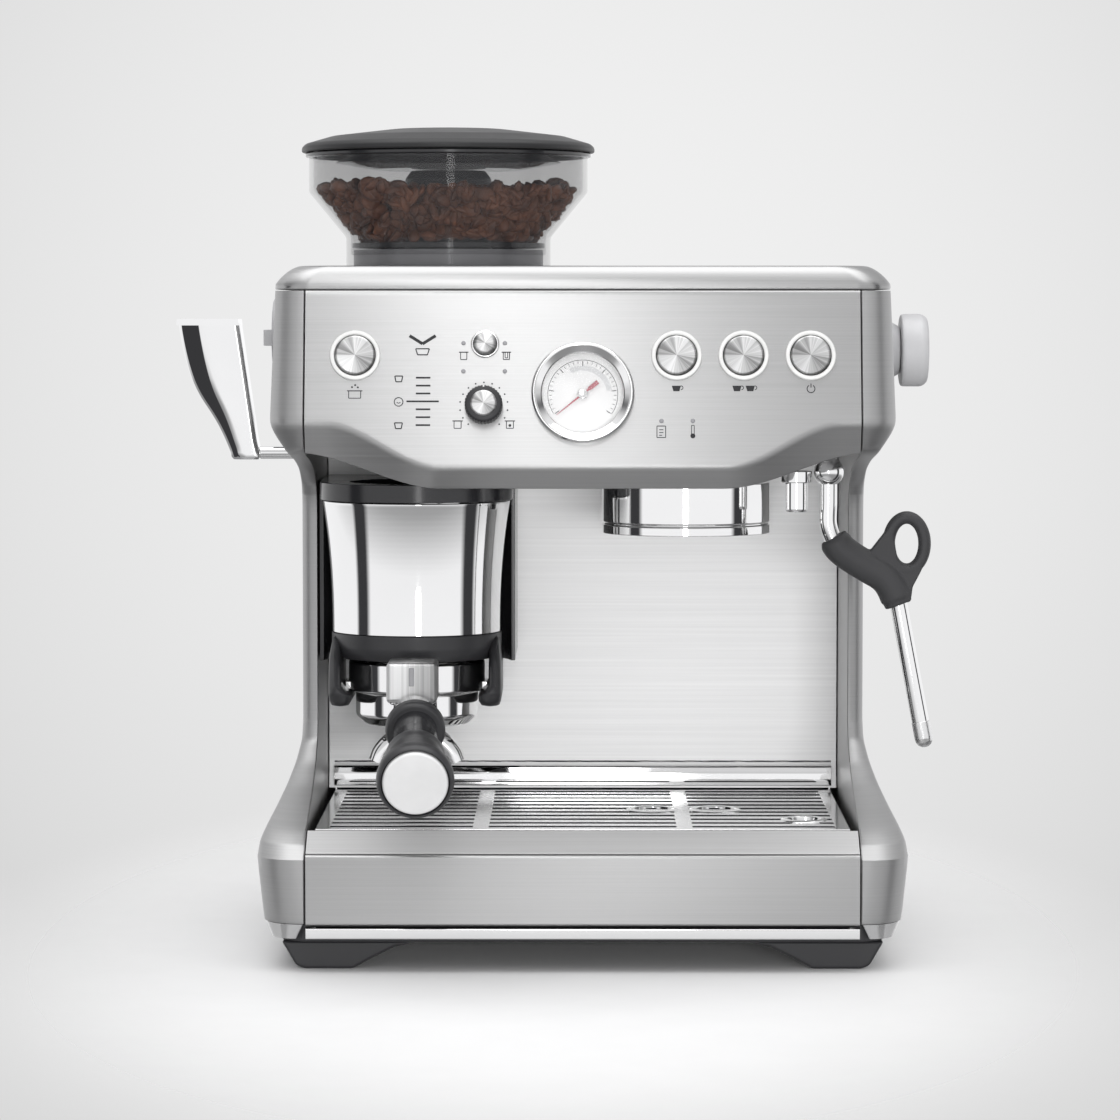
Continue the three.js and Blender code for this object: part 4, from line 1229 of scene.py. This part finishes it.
def grip():
    """The rubber grip: a sleeve round the wand's bend that grows into a finger ring."""
    path = spline([(x, WAND.y, z) for x, z in GRIP_PATH], 8)
    last = len(path) - 1
    radii = [GRIP_RADIUS if 2 < k < last - 2 else GRIP_END_RADIUS for k in range(last + 1)]
    sleeve = tube_mesh("sleeve", path, radii, 40)
    work = bmesh.new()
    work.from_mesh(sleeve)
    sides, around = 28, 64
    rings = []
    for k in range(around):
        turn = 2 * math.pi * k / around
        out = Vector((math.cos(turn), 0, math.sin(turn)))
        centre = Vector((RING["x"] + RING["wide"] * math.cos(turn), WAND.y,
                         RING["z"] + RING["tall"] * math.sin(turn)))
        rings.append([at(*(centre + out * RING["band"] * math.cos(a)
                           + Vector((0, 1, 0)) * 3.9 * math.sin(a)))
                      for a in (2 * math.pi * i / sides for i in range(sides))])
    loop = mesh_of("loop", *skin([*rings, rings[0]], ends=False))
    work.from_mesh(loop)
    web = [(141, 198), (143, 202.4), (152.4, 214.5), (154.6, 206), (156, 197.5), (160.5, 193.2),
           (166, 194.5),
           (171.5, 201), (167.5, 191.5), (163.6, 184), (162.6, 176.6), (151, 174.4), (147, 184)]
    web_mesh = mesh_of("web", *skin([[at(x, y, z) for x, z in web] for y in (WAND.y - 3.6, WAND.y + 3.6)]))
    work.from_mesh(web_mesh)
    mesh = bpy.data.meshes.new("wand_grip_fine")
    work.to_mesh(mesh)
    work.free()
    made = piece("wand_grip_fine", mesh, RUBBER, "wand", ("wand_grip",), sharp=70)
    remesh = made.modifiers.new("join", "REMESH")
    remesh.mode = "VOXEL"
    remesh.voxel_size = GRIP_VOXEL * MM
    remesh.use_smooth_shade = True
    relax = made.modifiers.new("relax", "SMOOTH")
    relax.iterations = 6


grip()


def on_side(name, profile, side, place, material, body, replaces=(), edge=0.6):
    """A lathed piece whose Z points out of one side of the machine."""
    made = piece(name, lathe_mesh(name, rounded(profile, edge), 96), material, body, replaces, 40)
    made.matrix_world = Matrix.Translation(at(*place)) @ Matrix.Rotation(side * math.pi / 2, 4, "Y")
    return made


def side_dials():
    """The steam dial with its seat on the right, and the grind dial on the left."""
    low, high = body_box("steam_dial")
    centre = middle("steam_dial")
    depth = high.x - low.x
    radius = (high.z - low.z) / 2
    place = (low.x, centre.y, centre.z)
    on_side("steam_dial_body", [(0, 0), (radius - 1, 0), (radius, 1), (radius, depth - 3),
                                (radius - 2.2, depth), (0, depth - 0.4)], 1, place, GREY, "steam_knob",
            ("steam_dial",), 1.6)
    low, high = body_box("steam_escutcheon")
    radius, depth = (high.z - low.z) / 2, high.x - low.x
    on_side("steam_escutcheon_fine", [(0, 0), (radius, 0), (radius, 3), (radius - 3, depth), (0, depth)], 1,
            (low.x, centre.y, centre.z), GREY, "housing", ("steam_escutcheon",), 1.0)
    softened("grind_dial", GREY, "grind_knob", edge=0.9, steps=3)


side_dials()

# ---- bean hopper ----


def hopper():
    """The smoked hopper with its lock column, its seat on the machine and its lid."""
    place = (HOPPER.x, HOPPER.y, 0)
    turned("hopper_wall", [(27, 342.4), (52.5, 342.4), (52.5, 358), (71.5, 381), (71.5, 400.6),
                           (69.2, 400.6), (69.2, 382), (50.2, 359.2), (50.2, 349), (27, 346), (27, 342.4)],
           place, SMOKE, "bean_hopper", ("hopper",), edge=1.4, sides=160)
    turned("hopper_lip", [(71.5, 398.6), (73, 399), (73, 400.6), (69.4, 400.6), (69.4, 398.6),
                          (71.5, 398.6)], place, GLOSS_BLACK, "bean_hopper", edge=0.3,
           sides=160)
    turned("hopper_lock_column", [(16, 349.5), (22, 349.5), (22, 388), (19, 392), (16, 392), (16, 349.5)],
           place, BLACK, "bean_hopper", ("hopper_lock",), edge=0.8)
    turned("hopper_neck_ring", [(49.4, 352.6), (49.4, 355.0), (46.4, 355.0), (46.4, 352.6), (49.4, 352.6)],
           place, GLOSS_BLACK, "bean_hopper", edge=0.4, sides=128)
    turned("hopper_neck_liner", [(48.6, 343.0), (48.6, 351.6), (45.6, 351.6), (45.6, 343), (48.6, 343)],
           place, DARK_GREY, "bean_hopper", edge=0.4, sides=128)
    turned("hopper_collar_fine", [(38, 336.4), (57, 336.4), (57, 340.6), (55.6, 342), (38, 342),
                                  (38, 336.4)], place, GREY, "housing", ("hopper_collar",),
           edge=0.5, sides=128)
    turned("hopper_lid_dome", [(0, 410), (60, 405.4), (65, 402), (65, 398.4), (67.4, 398.4), (67.4, 401.2),
                               (75, 401.2), (75, 403.6), (73, 405.6), (60, 409.4), (30, 413), (0, 414)],
           place, LID_BLACK, "bean_lid", ("hopper_lid",), edge=1.0, sides=160)
    turned("hopper_lid_plate", [(0, 400.4), (50, 400.4), (58, 396.0), (38, 392.6), (0, 392.6)], place,
           SMOKE_PLATE, "bean_lid", edge=0.8, sides=128)


hopper()


def bean_mesh():
    """One coffee bean: a flattened egg with a crease down its flat side."""
    work = bmesh.new()
    bmesh.ops.create_uvsphere(work, u_segments=10, v_segments=7, radius=1)
    for vertex in work.verts:
        x, y, z = vertex.co
        crease = math.exp(-(y / 0.25) ** 2) * 0.4
        high = z * (1 - crease) * 1.7 if z > 0 else z * 2.9
        vertex.co = Vector((x * 6.0, y * 4.1, high)) * MM
    points = [v.co.copy() for v in work.verts]
    faces = [[v.index for v in f.verts] for f in work.faces]
    work.free()
    return points, faces


CONE_LOW, CONE_HIGH = 359.2, 382.0
CONE_NARROW, CONE_WIDE = 50.2, 69.2
BEANS_AT_WALL, BEANS_ON_TOP, BEAN_SEED = 900, 420, 7


def hopper_inner_radius(z):
    """The room inside the hopper's cone at a height."""
    if z < CONE_LOW:
        return CONE_NARROW
    return min(CONE_NARROW + (z - CONE_LOW) * ((CONE_WIDE - CONE_NARROW) / (CONE_HIGH - CONE_LOW)),
               CONE_WIDE)


def bean_spots(chance, count, cover):
    """Places against the hopper's wall and over the top of the heap; the hidden inside stays empty."""
    spots = []
    while len(spots) < count:
        turn = chance.uniform(0, 2 * math.pi)
        top = 382 + 3.0 * math.sin(turn * 2 + 0.7) + 1.2 * math.sin(turn * 5)
        z = chance.uniform(358.5, top)
        r = hopper_inner_radius(z) - 6.2 - chance.uniform(0, 1) ** 2 * 9
        spots.append((r * math.cos(turn), r * math.sin(turn), z))
    for _ in range(cover):
        turn = chance.uniform(0, 2 * math.pi)
        r = 24 + 36 * math.sqrt(chance.uniform(0, 1))
        spots.append((r * math.cos(turn), r * math.sin(turn), 378 + chance.uniform(0, 3)))
    return spots


def beans():
    """All the beans as one mesh, each turned at random."""
    chance = random.Random(BEAN_SEED)
    shape, sides = bean_mesh()
    points, faces = [], []
    for x, y, z in bean_spots(chance, BEANS_AT_WALL, BEANS_ON_TOP):
        turn = Matrix.Identity(4)
        for axis in "ZXY":
            turn = turn @ Matrix.Rotation(chance.uniform(0, 6.28), 4, axis)
        size = Matrix.Scale(chance.uniform(0.8, 1.05), 4)
        place = Matrix.Translation(at(HOPPER.x + x, HOPPER.y + y, z)) @ turn @ size
        first = len(points)
        points += [place @ p for p in shape]
        faces += [[first + i for i in side] for side in sides]
    piece("coffee_beans", mesh_of("coffee_beans", points, faces), BEANS, "bean_hopper",
          sharp=60)


beans()

# ---- back and inside ----
softened("water_tank", TANK, "tank", edge=1.0, steps=3)
softened("tank_lid", BLACK, "tank_cover", edge=1.2, steps=3)
softened("cord_gland", BLACK, "housing", edge=0.5)
softened("grinder_motor", MOTOR, "housing", edge=1.0)
softened("burr_lower", POLISHED_WALL, "burr", edge=0.5)
softened("heater", COPPER, "housing", edge=1.5)
softened("pump", MOTOR, "housing", edge=1.0)
softened("control_board", BOARD, "housing", edge=0.2)


VENT_ROWS, VENT_LOW, VENT_PITCH = 9, 120, 11
VENT_INNER, VENT_OUTER = 101, 128


def rear_vents():
    """Two stacks of louvres beside the tank."""
    rear = body_box("rear_panel")[1].y
    for side in (-1, 1):
        for row in range(VENT_ROWS):
            z = VENT_LOW + row * VENT_PITCH
            across = sorted((side * VENT_INNER, side * VENT_OUTER))
            across_x(f"vent_{'left' if side < 0 else 'right'}_{row}", [(rear - 0.2, z), (rear + 1.6, z + 1),
                    (rear - 0.2, z + 4.5)], across[0], across[1], BLACK, "housing",
                     edge=0.3)


rear_vents()

# ---- camera, light, floor ----
CAMERA_PLACE = (0, -1960, 321)
LENS = 131.1
LOOK_DOWN, LOOK_LEFT = 3.51, 0.32


def camera():
    """A long lens in front of the machine, turned a little down and a little to its left."""
    lens = bpy.data.cameras.new("camera")
    lens.sensor_width = 36
    lens.lens = LENS
    eye = bpy.data.objects.new("camera", lens)
    bpy.context.scene.collection.objects.link(eye)
    eye.location = at(*CAMERA_PLACE)
    eye.rotation_euler = (math.radians(90 - LOOK_DOWN), 0, math.radians(LOOK_LEFT))
    bpy.context.scene.camera = eye


FLOOR_FADE = (0.24, 0.68)
FLOOR_OVAL = (2.0, 1, 1)
FLOOR_IN_MIRRORS = 0.4


def floor():
    """A pale floor disc. It fades out in an oval, so that no horizon shows, and is fainter in mirrors."""
    work = bmesh.new()
    bmesh.ops.create_circle(work, cap_ends=True, segments=96, radius=3.0)
    mesh = bpy.data.meshes.new("floor")
    work.to_mesh(mesh)
    work.free()
    material, tree, shader = node_material("floor")
    grain = stretched_noise(tree, (30, 30, 30))
    tree.links.new(tint(tree, grain, (0.80,) * 3, (0.82,) * 3), shader.inputs["Base Color"])
    shader.inputs["Roughness"].default_value = 0.6
    place = tree.nodes.new("ShaderNodeTexCoord")
    length = tree.nodes.new("ShaderNodeVectorMath")
    length.operation = "LENGTH"
    oval = tree.nodes.new("ShaderNodeVectorMath")
    oval.operation = "MULTIPLY"
    oval.inputs[1].default_value = FLOOR_OVAL
    tree.links.new(place.outputs["Object"], oval.inputs[0])
    tree.links.new(oval.outputs["Vector"], length.inputs[0])
    fade = spread(tree, length.outputs["Value"], *FLOOR_FADE, 1, 0, smooth=True)
    seen = tree.nodes.new("ShaderNodeLightPath")
    thinner = spread(tree, seen.outputs["Is Glossy Ray"], 0, 1, 1.0, FLOOR_IN_MIRRORS)
    tree.links.new(maths(tree, "MULTIPLY", fade, thinner), shader.inputs["Alpha"])
    mesh.materials.append(material)
    made = bpy.data.objects.new("floor", mesh)
    bpy.context.scene.collection.objects.link(made)


SCREENS = ((0.27, 0.0), (0.32, 1.0), (0.43, 1.0), (0.47, 0.0))
SCREEN_TOP = (0.75, 0.45)
WALLS = ((0.30, 0.30), (0.345, 0.40), (0.41, 1.0), (0.54, 1.05), (0.62, 0.72), (0.75, 0.66))


def world():
    """A pale studio: a soft-edged backdrop for the camera, and a bright room with two dark
    side screens for the reflections."""
    room = bpy.data.worlds.new("studio")
    bpy.context.scene.world = room
    room.use_nodes = True
    tree = room.node_tree
    back = tree.nodes["Background"]
    place = tree.nodes.new("ShaderNodeTexCoord")
    parts = tree.nodes.new("ShaderNodeSeparateXYZ")
    tree.links.new(place.outputs["Generated"], parts.inputs[0])

    forward = maths(tree, "MULTIPLY_ADD", parts.outputs["Y"], 0.5, 0.5)
    screens = ramp(tree, forward, (0.0, (0,) * 3), (1.0, (0,) * 3), [(y, (v,) * 3) for y, v in SCREENS])
    height = spread(tree, parts.outputs["Z"], *SCREEN_TOP, 0, 1, smooth=True)
    screen = maths(tree, "MULTIPLY", screens, height)
    upward = maths(tree, "MULTIPLY_ADD", parts.outputs["Z"], 0.5, 0.5)
    walls = ramp(tree, upward, (0.0, (0.28, 0.28, 0.29)), (1.0, (1.1, 1.1, 1.11)),
                 [(z, (v, v, v * 1.01)) for z, v in WALLS])
    studio = tree.nodes.new("ShaderNodeMix")
    studio.data_type = "RGBA"
    tree.links.new(screen, studio.inputs["Factor"])
    tree.links.new(walls, studio.inputs["A"])
    studio.inputs["B"].default_value = (0.045, 0.045, 0.048, 1)

    seen = tree.nodes.new("ShaderNodeLightPath")
    backdrop = spread(tree, parts.outputs["Y"], 0.981, 1.0, 0.69, 0.87)
    pick = tree.nodes.new("ShaderNodeMix")
    pick.data_type = "RGBA"
    tree.links.new(seen.outputs["Is Camera Ray"], pick.inputs["Factor"])
    tree.links.new(studio.outputs["Result"], pick.inputs["A"])
    tree.links.new(backdrop, pick.inputs["B"])
    tree.links.new(pick.outputs["Result"], back.inputs["Color"])
    back.inputs["Strength"].default_value = 1.0


def softbox(name, place, target, wide, tall, power, mirrored=True):
    """A rectangle of light that the camera doesn't see, aimed at a point in metres."""
    lamp = bpy.data.lights.new(name, "AREA")
    lamp.shape = "RECTANGLE"
    lamp.size = wide
    lamp.size_y = tall
    lamp.energy = power
    made = bpy.data.objects.new(name, lamp)
    bpy.context.scene.collection.objects.link(made)
    made.visible_camera = False
    made.visible_glossy = mirrored
    made.location = place
    made.rotation_euler = (Vector(target) - Vector(place)).to_track_quat("-Z", "Y").to_euler()


camera()
world()
floor()
softbox("overhead", (0, -0.2, 2.2), (0, 0, 0.2), 2.4, 2.0, 26)
softbox("glow", (-0.04, -1.25, 0.90), (-0.02, -0.1, 0.29), 0.22, 0.45, 0.86)
softbox("near_glow", (-0.05, -0.52, 0.60), (-0.02, -0.1, 0.31), 0.14, 0.12, 0.13)
softbox("strip", (0.03, -1.30, 0.24), (0.01, -0.1, 0.10), 0.14, 0.5, 0.9)
softbox("low_fill", (0.26, -1.7, 0.16), (0.08, 0.06, 0.20), 0.8, 0.3, 16, mirrored=False)
bpy.context.scene.view_settings.view_transform = "Standard"
